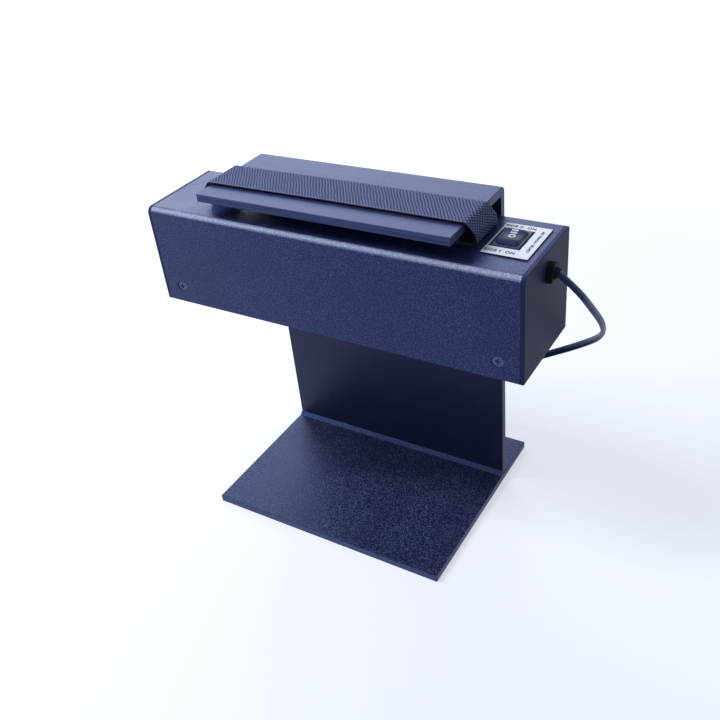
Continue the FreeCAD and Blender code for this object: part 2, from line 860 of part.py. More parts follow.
def switch_rocker():
    """The rocker: dished top, sloping ends, two pivot pins and a keel for the plunger."""
    x, y = switch_place_x, switch_place_y
    left = x - rocker_width / 2
    end_z = bezel_top + rocker_end_rise
    half_top = rocker_top_length / 2
    half_foot = rocker_foot_length / 2
    keel = rocker_keel_width / 2
    corners = [
        (y + half_top, end_z), (y + half_foot, bezel_top), (y + half_foot, rocker_skirt_z),
        (y + keel, rocker_skirt_z), (y + keel, keel_z), (y - keel, keel_z), (y - keel, rocker_skirt_z),
        (y - half_foot, rocker_skirt_z), (y - half_foot, bezel_top), (y - half_top, end_z),
    ]
    points = [Vector(left, a, b) for a, b in corners]
    edges = [Part.LineSegment(points[i], points[i + 1]).toShape() for i in range(len(points) - 1)]
    edges.append(Part.Arc(points[-1], Vector(left, y, end_z - rocker_dish), points[0]).toShape())
    body = Part.Face(Part.Wire(edges)).extrude(Vector(rocker_width, 0, 0))
    outline = box((left, y - half_foot, keel_z), (left + rocker_width, y + half_foot, end_z))
    upright_edges = [edge for edge in outline.Edges if abs(edge.tangentAt(edge.FirstParameter).z) > 0.9]
    body = body.common(outline.makeFillet(rocker_corner, upright_edges))
    reach = switch_cavity_width / 2 + pivot_reach - pivot_gap
    pins = rod((x - reach, y, pivot_z), X_AXIS, 2 * reach, pivot_radius)
    bore_depth = plunger_length * 2 / 3
    return fuse([body, pins]).cut(rod((x, y, keel_z), Z_AXIS, bore_depth, plunger_radius))


def switch_plunger():
    """The sprung plunger in the rocker's keel, with a round tip."""
    shank_z = plunger_tip_z + plunger_radius
    top_z = keel_z + plunger_length * 2 / 3
    shank = rod((switch_place_x, switch_place_y, shank_z), Z_AXIS, top_z - shank_z, plunger_radius)
    tip = Part.makeSphere(plunger_radius, Vector(switch_place_x, switch_place_y, shank_z))
    return fuse([shank, tip])


def switch_contact():
    """The see-saw contact strip, with a roll at its middle that it rocks on and a pad at each end."""
    x, y = switch_place_x, switch_place_y
    strip = box(
        (x - contact_width / 2, y - contact_length / 2, contact_z),
        (x + contact_width / 2, y + contact_length / 2, contact_top),
    )
    roll = rod((x - contact_width / 2, y, contact_z), X_AXIS, contact_width, contact_roll_radius)
    pads = []
    for way in (-1, 1):
        start = (x, y + way * blade_spacing * 0.9, contact_pad_bottom)
        pads.append(rod(start, Z_AXIS, contact_pad_height, contact_pad_radius))
    return fuse([strip, roll] + pads)


def label_plate():
    """The white plate round the switch, with a window that clears the bezel."""
    plate_top = housing_top + label_thickness
    plate = box(
        (label_place_x - label_width / 2, label_place_y - label_length / 2, housing_top),
        (label_place_x + label_width / 2, label_place_y + label_length / 2, plate_top),
    )
    return plate.cut(box(
        (switch_place_x - label_window_width / 2, switch_place_y - label_window_length / 2, housing_top),
        (switch_place_x + label_window_width / 2, switch_place_y + label_window_length / 2, plate_top),
    ))


def hand_strap():
    """Elastic webbing: over the carrying plate, down at each end, folded under and back to a clamp."""
    shoulder = slide_gap + strap_thickness / 2
    line = [
        (-strap_foot_end, strap_foot_z),
        (-strap_fold_reach, strap_foot_z),
        (plate_left - shoulder, strap_top_z),
        (plate_right + shoulder, strap_top_z),
        (strap_fold_reach, strap_foot_z),
        (strap_foot_end, strap_foot_z),
    ]
    radii = [strap_fold_radius, strap_shoulder_radius, strap_shoulder_radius, strap_fold_radius]
    reach = housing_depth
    strip = band(line, radii, strap_thickness)
    strip.translate(Vector(0, -reach, 0))
    strip = strip.extrude(Vector(0, 2 * reach, 0))
    half = strap_width / 2
    low = housing_top
    high = strap_top_z + strap_thickness / 2
    lean = [
        (strap_foot_y - half, low),
        (strap_foot_y + half, low),
        (strap_top_y + half, high),
        (strap_top_y - half, high),
    ]
    slab = plate_from([(-half_length, y, z) for y, z in lean], Vector(housing_length, 0, 0))
    holes = []
    for x, y in clamp_screw_points():
        holes.append(rod((x, y, housing_top), Z_AXIS, strap_thickness, clamp_screw_radius + screw_gap))
    return cut_all(strip.common(slab), holes)


clamp_low = housing_top + strap_thickness
clamp_top = clamp_low + clamp_thickness


def strap_clamp(way):
    """A flat bar over one folded end of the strap."""
    x = way * clamp_place
    bar = box(
        (x - clamp_width / 2, strap_foot_y - clamp_length / 2, clamp_low),
        (x + clamp_width / 2, strap_foot_y + clamp_length / 2, clamp_top),
    )
    holes = []
    for spot_x, spot_y in clamp_screw_points():
        start = (spot_x, spot_y, clamp_low)
        holes.append(rod(start, Z_AXIS, clamp_thickness, clamp_screw_radius + screw_gap))
    return cut_all(bar, holes)


def strap_screws():
    """Four pan-head screws through clamp, strap and cover."""
    screws = []
    end_z = housing_top - cover_wall - clamp_nut_height
    for x, y in clamp_screw_points():
        head = rod((x, y, clamp_top), Z_AXIS, clamp_screw_head_height, clamp_screw_head_radius)
        shank = rod((x, y, end_z), Z_AXIS, clamp_top - end_z, clamp_screw_radius)
        screws.append(fuse([head, shank]))
    return Part.makeCompound(screws)


def strap_nuts():
    """Four nuts under the cover's top."""
    nuts = []
    start_z = housing_top - cover_wall - clamp_nut_height
    for x, y in clamp_screw_points():
        corners = []
        for i in range(6):
            angle = math.radians(60 * i)
            across = clamp_nut_radius * math.cos(angle)
            along = clamp_nut_radius * math.sin(angle)
            corners.append((x + across, y + along, start_z))
        body = plate_from(corners, Vector(0, 0, clamp_nut_height))
        nuts.append(body.cut(rod((x, y, start_z), Z_AXIS, clamp_nut_height, clamp_screw_radius)))
    return Part.makeCompound(nuts)


def behind_mouth():
    """All the space on the lamp's side of the bush's sloping mouth."""
    way = unit(lead_route[1] - lead_route[0])
    turn = FreeCAD.Rotation(X_AXIS, way)
    space = Part.makeBox(housing_length, housing_length, housing_length)
    space.translate(Vector(-housing_length, -housing_length / 2, -housing_length / 2))
    space.Placement = FreeCAD.Placement(lead_route[0], turn).multiply(space.Placement)
    return space


def cord_bush():
    """Tapered strain-relief bush, gripped in the end plate's hole."""
    start = inner_half_length - bush_inside
    inside = Part.makeCone(
        bush_nose_tip_radius, bush_shank_radius, bush_inside, Vector(start, bush_y, bush_z), X_AXIS
    )
    shank = rod((inner_half_length, bush_y, bush_z), X_AXIS, end_wall, bush_shank_radius)
    flange = rod((half_length, bush_y, bush_z), X_AXIS, bush_flange, bush_flange_radius)
    nose = Part.makeCone(
        bush_nose_base_radius, bush_nose_tip_radius, bush_nose,
        Vector(half_length + bush_flange, bush_y, bush_z), X_AXIS,
    )
    bore = rod((start, bush_y, bush_z), X_AXIS, bush_mouth_x - start, cord_radius)
    return fuse([inside, shank, flange, nose]).cut(bore).common(behind_mouth())


def cord_entry():
    """The cord's sheath inside the bush."""
    start = inner_half_length - bush_inside
    sheath = rod((start, bush_y, bush_z), X_AXIS, bush_mouth_x - start, cord_radius)
    return sheath.common(behind_mouth())


def mains_cores():
    """The cord's two insulated cores, from the bush down to the terminal block."""
    start = inner_half_length - bush_inside
    down_x = switch_place_x + switch_body_width / 2 + seat_gap + 2 * core_radius
    cores = []
    for way, y_end in ((-1, terminal_row()[0]), (1, terminal_row()[1])):
        y = bush_y + way * core_spacing / 2
        cores.append(wire_run([
            (start, y, bush_z), (down_x, y, bush_z), (down_x, y, terminal_hole_z + 2),
            (switch_place_x, y_end, terminal_hole_z), (terminal_right - 4, y_end, terminal_hole_z),
        ], core_radius))
    return Part.makeCompound(cores)


def switch_wires():
    """Three wires from the switch's blades to the terminal block."""
    wires = []
    top_z = switch_bottom - blade_drop
    for place in (-1, 0, 1):
        y = switch_place_y + place * blade_spacing
        y_end = terminal_row()[3 + place]
        wires.append(wire_run([
            (switch_place_x, y, top_z), (switch_place_x, y, terminal_hole_z),
            (terminal_right + 4, y_end, terminal_hole_z + 0.2),
            (terminal_right - 4, y_end, terminal_hole_z),
        ], core_radius))
    return Part.makeCompound(wires)


def tube_wires(way):
    """Two wires at one end, from the tube holders up through the gear plate's notches."""
    wires = []
    back = tube_length / 2 + seat_gap + holder_thickness
    beside_block = terminal_poles * terminal_pitch / 2 + seat_gap + 1.5 * core_radius
    ballast_end = ballast_place - ballast_length / 2
    for side in (-1, 1):
        y = side * tube_spacing / 2
        run_z = gear_floor + 3 * core_radius
        route = [(way * back, y, tube_axis), (way * wire_notch_place, y, tube_axis)]
        if way > 0:
            route += [
                (wire_notch_place, y, run_z), (terminal_right + 5, side * beside_block, run_z),
                (socket_x + starter_socket_thickness, side * beside_block, run_z),
            ]
        else:
            route += [
                (-wire_notch_place, y, run_z + 4),
                (ballast_end - 2 * ballast_foot_length, side * ballast_width / 3, run_z + 7),
                (ballast_end, side * ballast_width / 3, run_z + 7),
            ]
        wires.append(wire_run(route, core_radius))
    return Part.makeCompound(wires)


def coil_point(turns):
    """The coil's middle line: it spirals in and out, and climbs a layer where the spiral reverses."""
    layer = min(int(turns / coil_turns_per_layer), coil_layers - 1)
    along = turns - layer * coil_turns_per_layer
    inward = layer % 2 == 0
    radius = coil_outer_radius - along * coil_pitch if inward else coil_inner_radius + along * coil_pitch
    height = coil_floor_z
    for reversal in range(1, coil_layers):
        share = (turns - (reversal * coil_turns_per_layer - 0.25)) / 0.5
        share = max(0.0, min(1.0, share))
        height += coil_pitch * share * share * (3 - 2 * share)
    angle = -math.pi / 2 - 2 * math.pi * turns
    return Vector(
        coil_place_x + radius * math.cos(angle), coil_place_y + radius * math.sin(angle), height
    )


def coil_tangent(turns):
    """The direction of the coil's middle line."""
    step = 1e-4
    if turns < step:
        return Vector(-1, 0, 0)
    if turns > coil_turns - step:
        return Vector(-1, 0, 0)
    return unit(coil_point(turns + step) - coil_point(turns - step))


def biarc(start, start_way, end, end_way):
    """Two tangent arcs between two points with given directions."""
    chord = end - start
    both = start_way + end_way
    spread = 2 * (1 - start_way.dot(end_way))
    reach = chord.dot(both)
    length = (math.sqrt(reach ** 2 + spread * chord.dot(chord)) - reach) / spread
    joint = (start + start_way * length + end - end_way * length) * 0.5
    joint_way = unit(joint - start - start_way * length)
    return [arc_from_tangent(start, start_way, joint), arc_from_tangent(joint, joint_way, end)]


def cord_coil():
    """The spare cord, wound into one unbroken coil of loops."""
    first = coil_point(0)
    last = coil_point(coil_turns)
    edges = [Part.LineSegment(first + X_AXIS * cord_width, first).toShape()]
    quarters = int(round(coil_turns * 4))
    for i in range(quarters):
        a, b = i / 4, (i + 1) / 4
        edges += biarc(coil_point(a), coil_tangent(a), coil_point(b), coil_tangent(b))
    edges.append(Part.LineSegment(last, last - X_AXIS * cord_width).toShape())
    return tube_on(Part.Wire(edges), cord_radius)


def coil_gap():
    """The least gap between one turn of the coil and another."""
    steps = 72
    points = [coil_point(i / steps) for i in range(int(coil_turns * steps) + 1)]
    least = min(
        points[i].distanceToPoint(points[j])
        for i in range(len(points)) for j in range(i + steps // 2, len(points))
    )
    return least - cord_width


def coil_tie():
    """A band round the bundle of turns at the coil's back."""
    inner_low = coil_place_y + coil_inner_radius - cord_radius - tie_gap
    inner_high = coil_place_y + coil_outer_radius + cord_radius + tie_gap
    top = coil_top_z + cord_radius + tie_gap
    half = tie_width / 2
    outer = box(
        (coil_place_x - half, inner_low - tie_thickness, 0),
        (coil_place_x + half, inner_high + tie_thickness, top + tie_thickness),
    )
    return outer.cut(box(
        (coil_place_x - half, inner_low, tie_thickness), (coil_place_x + half, inner_high, top)
    ))


def plug_section(x, width, thickness):
    """A rectangle with cut corners across the plug."""
    half_w = width / 2
    half_t = thickness / 2
    corner = min(plug_corner, half_w / 2, half_t / 2)
    points = [
        (half_w - corner, -half_t), (half_w, corner - half_t),
        (half_w, half_t - corner), (half_w - corner, half_t),
        (corner - half_w, half_t), (-half_w, half_t - corner),
        (-half_w, corner - half_t), (corner - half_w, -half_t),
    ]
    corners = [Vector(x, plug_run_y + a, plug_axis_z + b) for a, b in points]
    return Part.makePolygon(corners + corners[:1])


plug_neck_x = plug_sleeve_end - plug_sleeve_length
plug_face_x = plug_neck_x - plug_body_length


def plug_body():
    """A flat two-pin plug's moulding with its tapered sleeve."""
    sections = [
        plug_section(plug_face_x, plug_face_width, plug_thickness),
        plug_section(plug_face_x + plug_face_length, plug_face_width, plug_thickness),
        plug_section(plug_face_x + 2 * plug_face_length, plug_waist_width, plug_thickness),
        plug_section(plug_neck_x, plug_neck_width, plug_neck_thickness),
    ]
    body = Part.makeLoft(sections, True, True)
    sleeve = Part.makeCone(
        plug_sleeve_tip_radius, plug_sleeve_base_radius, plug_sleeve_length,
        Vector(plug_sleeve_end, plug_run_y, plug_axis_z), Vector(-1, 0, 0),
    )
    return fuse([body, sleeve])


def plug_pins():
    """Two round pins on the plug's face."""
    pins = []
    for way in (-1, 1):
        start = (plug_face_x, plug_run_y + way * plug_pin_spacing / 2, plug_axis_z)
        pin = rod(start, Vector(-1, 0, 0), plug_pin_length - plug_pin_radius, plug_pin_radius)
        tip_x = plug_face_x - plug_pin_length + plug_pin_radius
        pins.append(fuse([pin, Part.makeSphere(plug_pin_radius, Vector(tip_x, start[1], plug_axis_z))]))
    return Part.makeCompound(pins)


def stand_pieces():
    """The pieces of the stand."""
    return {"base_plate": base_plate(), "stand_bracket": stand_bracket(), "weld_beads": weld_beads()}


def lamp_pieces():
    """The lamp's housing and what it holds."""
    pieces = {
        "housing_cover": housing_cover(),
        "end_plate_left": end_plate(-1),
        "end_plate_right": end_plate(1),
        "cover_screws": cover_screws(),
        "lamp_tray": lamp_tray(),
        "tray_nuts": tray_nuts(),
        "filter_glass": filter_glass(),
        "filter_clips": filter_clips(),
        "reflector": reflector(),
        "gear_plate": gear_plate(),
        "gear_rivets": gear_rivets(),
        "ballast": ballast(),
        "ballast_screws": ballast_screws(),
        "terminal_block": terminal_block(),
        "mains_cores": mains_cores(),
        "switch_wires": switch_wires(),
        "tube_wires_left": tube_wires(-1),
        "tube_wires_right": tube_wires(1),
    }
    for name, side in (("uva", -1), ("uvc", 1)):
        y = side * tube_spacing / 2
        starter_y = side * starter_spacing / 2
        pieces[name + "_tube"] = tube_glass(y)
        pieces[name + "_tube_caps"] = tube_caps(y)
        pieces[name + "_holder_left"] = tube_holder(-1, y)
        pieces[name + "_holder_right"] = tube_holder(1, y)
        pieces[name + "_starter"] = starter(starter_y)
        pieces[name + "_starter_socket"] = starter_socket(starter_y)
    return pieces


def top_pieces():
    """The switch, its plate and the strap on the lamp's top."""
    return {
        "switch_body": switch_body(),
        "switch_terminals": Part.makeCompound(switch_blades()),
        "switch_rocker": switch_rocker(),
        "switch_plunger": switch_plunger(),
        "switch_contact": switch_contact(),
        "label_plate": label_plate(),
        "hand_strap": hand_strap(),
        "strap_clamp_left": strap_clamp(-1),
        "strap_clamp_right": strap_clamp(1),
        "strap_screws": strap_screws(),
        "strap_nuts": strap_nuts(),
    }


def cord_pieces():
    """The mains lead, with its bend radii, volumes and least gap printed."""
    pieces = {
        "cord_bush": cord_bush(),
        "cord_entry": cord_entry(),
        "coil_tie": coil_tie(),
        "plug_body": plug_body(),
        "plug_pins": plug_pins(),
    }
    total = 0.0
    for name, route in (("cord_lead", lead_route), ("cord_tail", tail_route)):
        path, radii = rounded_path(route)
        pieces[name], ratio = tube_on(path, cord_radius)
        total += path.Length
        print(name, "length", round(path.Length, 1), "volume ratio", round(ratio, 4))
        print("  radii", [round(radius, 1) for radius in radii])
    pieces["cord_coil"], ratio = cord_coil()
    coil_length = pieces["cord_coil"].Volume / (math.pi * cord_radius ** 2)
    print("cord_coil length", round(coil_length, 1), "volume ratio", round(ratio, 4))
    print("cord_coil least gap", round(coil_gap(), 2))
    print("cord length", round(total + coil_length, 1))
    return pieces


os.makedirs("parts", exist_ok=True)
for group in (stand_pieces(), lamp_pieces(), top_pieces(), cord_pieces()):
    for node, shape in group.items():
        shape.exportStep("parts/" + node + ".step")
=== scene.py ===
import math

import bpy
from mathutils import Matrix, Vector


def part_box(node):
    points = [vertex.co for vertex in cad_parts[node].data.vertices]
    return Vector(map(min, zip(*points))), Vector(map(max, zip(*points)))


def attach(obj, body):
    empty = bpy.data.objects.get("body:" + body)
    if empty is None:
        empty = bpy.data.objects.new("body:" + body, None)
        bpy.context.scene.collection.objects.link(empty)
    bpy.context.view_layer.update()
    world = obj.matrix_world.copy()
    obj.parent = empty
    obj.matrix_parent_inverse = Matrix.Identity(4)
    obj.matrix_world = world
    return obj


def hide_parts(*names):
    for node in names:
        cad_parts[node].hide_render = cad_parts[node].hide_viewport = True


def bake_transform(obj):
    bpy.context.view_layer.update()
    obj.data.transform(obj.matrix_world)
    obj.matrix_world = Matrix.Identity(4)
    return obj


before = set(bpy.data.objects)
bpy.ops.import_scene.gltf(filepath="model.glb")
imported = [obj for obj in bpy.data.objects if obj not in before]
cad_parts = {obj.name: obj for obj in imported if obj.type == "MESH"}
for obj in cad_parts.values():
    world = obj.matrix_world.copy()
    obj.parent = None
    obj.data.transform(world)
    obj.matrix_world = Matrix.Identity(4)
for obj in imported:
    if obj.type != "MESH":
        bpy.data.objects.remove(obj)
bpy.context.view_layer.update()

# Base plate: a sawn piece of 6 mm black polystyrene sheet. The top keeps the sheet's embossed
# pebble skin, and the four edges show the plain sawn plastic.


def linear(hex_colour):
    """An sRGB hex value as the linear colour that a shader takes."""
    parts = [int(hex_colour[i:i + 2], 16) / 255 for i in (1, 3, 5)]
    return [c / 12.92 if c <= 0.04045 else ((c + 0.055) / 1.055) ** 2.4 for c in parts] + [1.0]


cool_sheen = linear("#9db1fb")


def add_node(tree, kind, links, **settings):
    """Adds one shader node: its settings, and its inputs from sockets or plain values."""
    node = tree.nodes.new("ShaderNode" + kind)
    for name, value in settings.items():
        setattr(node, name, value)
    for name, value in links.items():
        if isinstance(value, bpy.types.NodeSocket):
            tree.links.new(value, node.inputs[name])
        else:
            node.inputs[name].default_value = value
    return node


def new_finish(name, **constants):
    """A material with its shader's constant sockets set, its node tree and its shader."""
    material = bpy.data.materials.new(name)
    material.use_nodes = True
    shader = material.node_tree.nodes["Principled BSDF"]
    for socket, value in constants.items():
        shader.inputs[socket.replace("_", " ")].default_value = value
    return material, material.node_tree, shader


def dress(material, *nodes):
    """Puts a finish on CAD nodes whose shape is right as it is."""
    for node in nodes:
        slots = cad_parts[node].data.materials
        slots.clear()
        slots.append(material)


def embossed_plastic(name, dark, light, grain_mm, depth_mm, roughness, specks_mm, sawn=None, edge_highlight=None,
                     **constants):
    """Plastic with an embossed grain: pebbles of one size, a soft cloud of shine, and pale specks that are
    painted glints.

    The grain gives the eye a broken highlight. Each pebble's top is painted lighter, as if lit, and the
    gaps between pebbles darker, a painted shade. Where sawn names a colour, faces that don't look up are
    sawn smooth in that colour. A colour given for the rounded front edge is a painted highlight: the
    pebbles there are mixed towards it."""
    cloud_mm = 45.0
    material, tree, shader = new_finish(name, IOR=1.53, Specular_Tint=cool_sheen, **constants)
    place = add_node(tree, "TexCoord", {}).outputs["Object"]
    pebbles = add_node(tree, "TexVoronoi", {
        "Vector": place, "Scale": 1000 / grain_mm, "Smoothness": 0.35,
    }, feature="SMOOTH_F1").outputs["Distance"]
    creases = add_node(tree, "TexNoise", {
        "Vector": place, "Scale": 1000 / (grain_mm * 1.4), "Detail": 3.0,
    }).outputs[0]
    height = add_node(tree, "Math", {0: creases, 1: 0.25, 2: pebbles}, operation="MULTIPLY_ADD").outputs[0]
    relief = add_node(tree, "MapRange", {
        "Value": height, "From Min": 0.15, "From Max": 0.62, "To Min": 1.0, "To Max": 0.0,
    }).outputs[0]
    cloud = add_node(tree, "TexNoise", {"Vector": place, "Scale": 1000 / cloud_mm, "Detail": 4.0}).outputs[0]
    # Painted glints: pale specks at random places, mixed in a light sheen colour.
    dots = add_node(tree, "TexVoronoi", {"Vector": place, "Scale": 1000 / specks_mm}).outputs["Distance"]
    dot = add_node(tree, "MapRange", {
        "Value": dots, "From Min": 0.06, "From Max": 0.03, "To Min": 0.0, "To Max": 0.5,
    }).outputs[0]
    # Painted highlight and shade: pebble tops are mixed towards the light colour as if lit, the gaps between
    # them towards the dark colour as if in shade; the cloud varies it at random.
    tone = add_node(tree, "Math", {0: relief, 1: cloud}, operation="MULTIPLY").outputs[0]
    plain = add_node(tree, "Mix", {0: tone, 6: linear(dark), 7: linear(light)}, data_type="RGBA").outputs[2]
    colour = add_node(tree, "Mix", {0: dot, 6: plain, 7: linear("#97a2c8")}, data_type="RGBA").outputs[2]
    shine = add_node(tree, "MapRange", {
        "Value": cloud, "From Min": 0.3, "From Max": 0.7,
        "To Min": roughness - 0.06, "To Max": roughness + 0.06,
    }).outputs[0]
    if sawn:
        normal = add_node(tree, "NewGeometry", {}).outputs["True Normal"]
        up = add_node(tree, "SeparateXYZ", {0: normal}).outputs["Z"]
        on_top = add_node(tree, "Math", {0: up, 1: 0.5}, operation="GREATER_THAN").outputs[0]
        relief = add_node(tree, "Math", {0: relief, 1: on_top}, operation="MULTIPLY").outputs[0]
        colour = add_node(tree, "Mix", {0: on_top, 6: linear(sawn), 7: colour}, data_type="RGBA").outputs[2]
    if edge_highlight:
        # Painted highlight: where faces look forward and up on the rounded front edge, the pebble tops are
        # mixed towards a bright colour for the light that edge catches.
        normal = add_node(tree, "NewGeometry", {}).outputs["Normal"]
        facing = add_node(tree, "SeparateXYZ", {0: normal})
        front = add_node(tree, "MapRange", {
            "Value": facing.outputs["Y"], "From Min": -0.15, "From Max": -0.45,
        }).outputs[0]
        above = add_node(tree, "MapRange", {
            "Value": facing.outputs["Z"], "From Min": 0.3, "From Max": 0.65,
        }).outputs[0]
        edge = add_node(tree, "Math", {0: front, 1: above}, operation="MULTIPLY").outputs[0]
        highlight_share = add_node(tree, "MapRange", {"Value": relief, "From Max": 0.9, "To Min": 0.45}).outputs[0]
        highlight_share = add_node(tree, "Math", {0: highlight_share, 1: edge}, operation="MULTIPLY").outputs[0]
        colour = add_node(tree, "Mix", {0: highlight_share, 6: colour, 7: linear(edge_highlight)}, data_type="RGBA").outputs[2]
    bump = add_node(tree, "Bump", {
        "Height": relief, "Strength": 1.0, "Distance": depth_mm / 1000,
    }).outputs[0]
    tree.links.new(colour, shader.inputs["Base Color"])
    tree.links.new(shine, shader.inputs["Roughness"])
    tree.links.new(bump, shader.inputs["Normal"])
    return material


dress(embossed_plastic("embossed_polystyrene", "#1b2142", "#94a2d4", 1.0, 0.14, 0.42, 5.0, "#3f4b7c"),
      "base_plate")

# Bracket: one 6 mm sheet of smooth black polystyrene, bent hot into the upright and the carrying
# plate. It was polished along its length, so faint streaks run up the upright and along the plate.
# The carrying plate is painted lighter than the upright: a painted highlight on the plate and a
# painted shade on the upright under the lamp.


def drawn_plastic(name, dark, light, along_mm, across_mm, roughness, turn_at=10.0, rim=None, **constants):
    """Smooth sheet with faint drawn streaks, upright below the height turn_at and along X above it.

    Above turn_at it is painted lighter than below it, a painted highlight above and a painted shade
    below, with saw marks on the front. Where rim names a colour, faces that don't look along X have it."""
    skin_mm, skin_depth = 0.9, 0.00008
    material, tree, shader = new_finish(name, IOR=1.53, Specular_Tint=cool_sheen, **constants)
    place = add_node(tree, "TexCoord", {}).outputs["Object"]
    fine, long = 1000 / across_mm, 1000 / along_mm
    up = add_node(tree, "Mapping", {"Vector": place, "Scale": (fine, fine, long)}).outputs[0]
    along = add_node(tree, "Mapping", {"Vector": place, "Scale": (long, fine, fine)}).outputs[0]
    streaks_up = add_node(tree, "TexNoise", {"Vector": up, "Scale": 1.0, "Detail": 3.0}).outputs[0]
    streaks_along = add_node(tree, "TexNoise", {"Vector": along, "Scale": 1.0, "Detail": 3.0}).outputs[0]
    z = add_node(tree, "SeparateXYZ", {0: place}).outputs["Z"]
    on_plate = add_node(tree, "Math", {0: z, 1: turn_at}, operation="GREATER_THAN").outputs[0]
    streaks = add_node(tree, "Mix", {0: on_plate, 2: streaks_up, 3: streaks_along}).outputs[0]
    skin = add_node(tree, "TexNoise", {"Vector": place, "Scale": 1000 / skin_mm, "Detail": 2.0}).outputs[0]
    tone = add_node(tree, "MapRange", {"Value": streaks, "From Min": 0.35, "From Max": 0.65}).outputs[0]
    # Painted shade: the darker pair of colours, used below turn_at.
    lower = add_node(tree, "Mix", {0: tone, 6: linear(dark), 7: linear(light)}, data_type="RGBA").outputs[2]
    facing = add_node(tree, "NewGeometry", {}).outputs["True Normal"]
    ahead = add_node(tree, "SeparateXYZ", {0: facing}).outputs["Y"]
    on_front = add_node(tree, "Math", {0: ahead, 1: -0.5}, operation="LESS_THAN").outputs[0]
    marks = add_node(tree, "Mix", {0: on_front, 2: skin, 3: tone}).outputs[0]
    # Painted highlight: the lighter pair of colours above turn_at, as if the carrying plate were lit from
    # above.
    lit_upper_colour = add_node(tree, "Mix", {
        0: marks, 6: linear("#1f2646"), 7: linear("#3d4877"),
    }, data_type="RGBA").outputs[2]
    colour = add_node(tree, "Mix", {0: on_plate, 6: lower, 7: lit_upper_colour}, data_type="RGBA").outputs[2]
    if rim:
        normal = add_node(tree, "NewGeometry", {}).outputs["True Normal"]
        across = add_node(tree, "SeparateXYZ", {0: normal}).outputs["X"]
        size = add_node(tree, "Math", {0: across}, operation="ABSOLUTE").outputs[0]
        facing = add_node(tree, "Math", {0: size, 1: 0.5}, operation="GREATER_THAN").outputs[0]
        colour = add_node(tree, "Mix", {0: facing, 6: linear(rim), 7: colour}, data_type="RGBA").outputs[2]
    shine = add_node(tree, "MapRange", {
        "Value": streaks, "From Min": 0.3, "From Max": 0.7,
        "To Min": roughness - 0.02, "To Max": roughness + 0.02,
    }).outputs[0]
    height = add_node(tree, "Math", {0: streaks, 1: 0.3, 2: skin}, operation="MULTIPLY_ADD").outputs[0]
    bump = add_node(tree, "Bump", {"Height": height, "Strength": 1.0, "Distance": skin_depth}).outputs[0]
    tree.links.new(colour, shader.inputs["Base Color"])
    tree.links.new(shine, shader.inputs["Roughness"])
    tree.links.new(bump, shader.inputs["Normal"])
    return material


dress(drawn_plastic("polished_polystyrene", "#151a33", "#191f3b", 90.0, 1.6, 0.45, 0.249), "stand_bracket")

# Cement beads: solvent cement run along both sides of the upright's foot and left to set. It is the
# same plastic, dissolved and shrunk, so it is a little lighter, uneven and glossier than the sheet.
dress(embossed_plastic("solvent_cement", "#2a3360", "#4a5688", 4.0, 0.1, 0.36, 40.0), "weld_beads")

# Housing cover: a U-shaped cover of black sheet with a fine leather grain, its front edge rounded and
# carrying a painted highlight. Two end plates of smoother sheet, glued in flush, close it left and right.
dress(embossed_plastic("leather_grain_abs", "#293260", "#8493d0", 1.0, 0.07, 0.34, 5.0, edge_highlight="#dde3fb",
                       Specular_IOR_Level=0.32), "housing_cover")
dress(drawn_plastic("satin_abs", "#1f213c", "#252849", 30.0, 2.2, 0.55, rim="#29325a",
                    Specular_IOR_Level=0.16), "end_plate_left", "end_plate_right")

# Cover screws: countersunk M4 steel screws with a cross recess, blackened, one at each corner of
# the long faces. Metals here share one finish: rolled or turned grit lines and a patchy shine.


def worked_metal(name, dark, light, grit_mm, rough, metallic=1.0):
    """Metal with fine marks of its making: patches of tone, and grit lines along X."""
    material, tree, shader = new_finish(name, Metallic=metallic)
    place = add_node(tree, "TexCoord", {}).outputs["Object"]
    fine, patch_mm, grit_depth = 1000 / grit_mm, grit_mm * 6, 0.00002
    along = add_node(tree, "Mapping", {"Vector": place, "Scale": (fine / 20, fine, fine)}).outputs[0]
    grit = add_node(tree, "TexNoise", {"Vector": along, "Scale": 1.0, "Detail": 3.0}).outputs[0]
    patch = add_node(tree, "TexNoise", {"Vector": place, "Scale": 1000 / patch_mm, "Detail": 4.0}).outputs[0]
    tone = add_node(tree, "Math", {0: grit, 1: patch}, operation="ADD").outputs[0]
    share = add_node(tree, "MapRange", {"Value": tone, "From Min": 0.7, "From Max": 1.3}).outputs[0]
    colour = add_node(tree, "Mix", {
        0: share, 6: linear(dark), 7: linear(light),
    }, data_type="RGBA").outputs[2]
    shine = add_node(tree, "MapRange", {
        "Value": patch, "From Min": 0.3, "From Max": 0.7, "To Min": rough - 0.08, "To Max": rough + 0.08,
    }).outputs[0]
    bump = add_node(tree, "Bump", {"Height": grit, "Strength": 0.6, "Distance": grit_depth}).outputs[0]
    tree.links.new(colour, shader.inputs["Base Color"])
    tree.links.new(shine, shader.inputs["Roughness"])
    tree.links.new(bump, shader.inputs["Normal"])
    return material


dress(worked_metal("blackened_steel", "#363f68", "#626f9e", 0.5, 0.5, 0.3), "cover_screws")

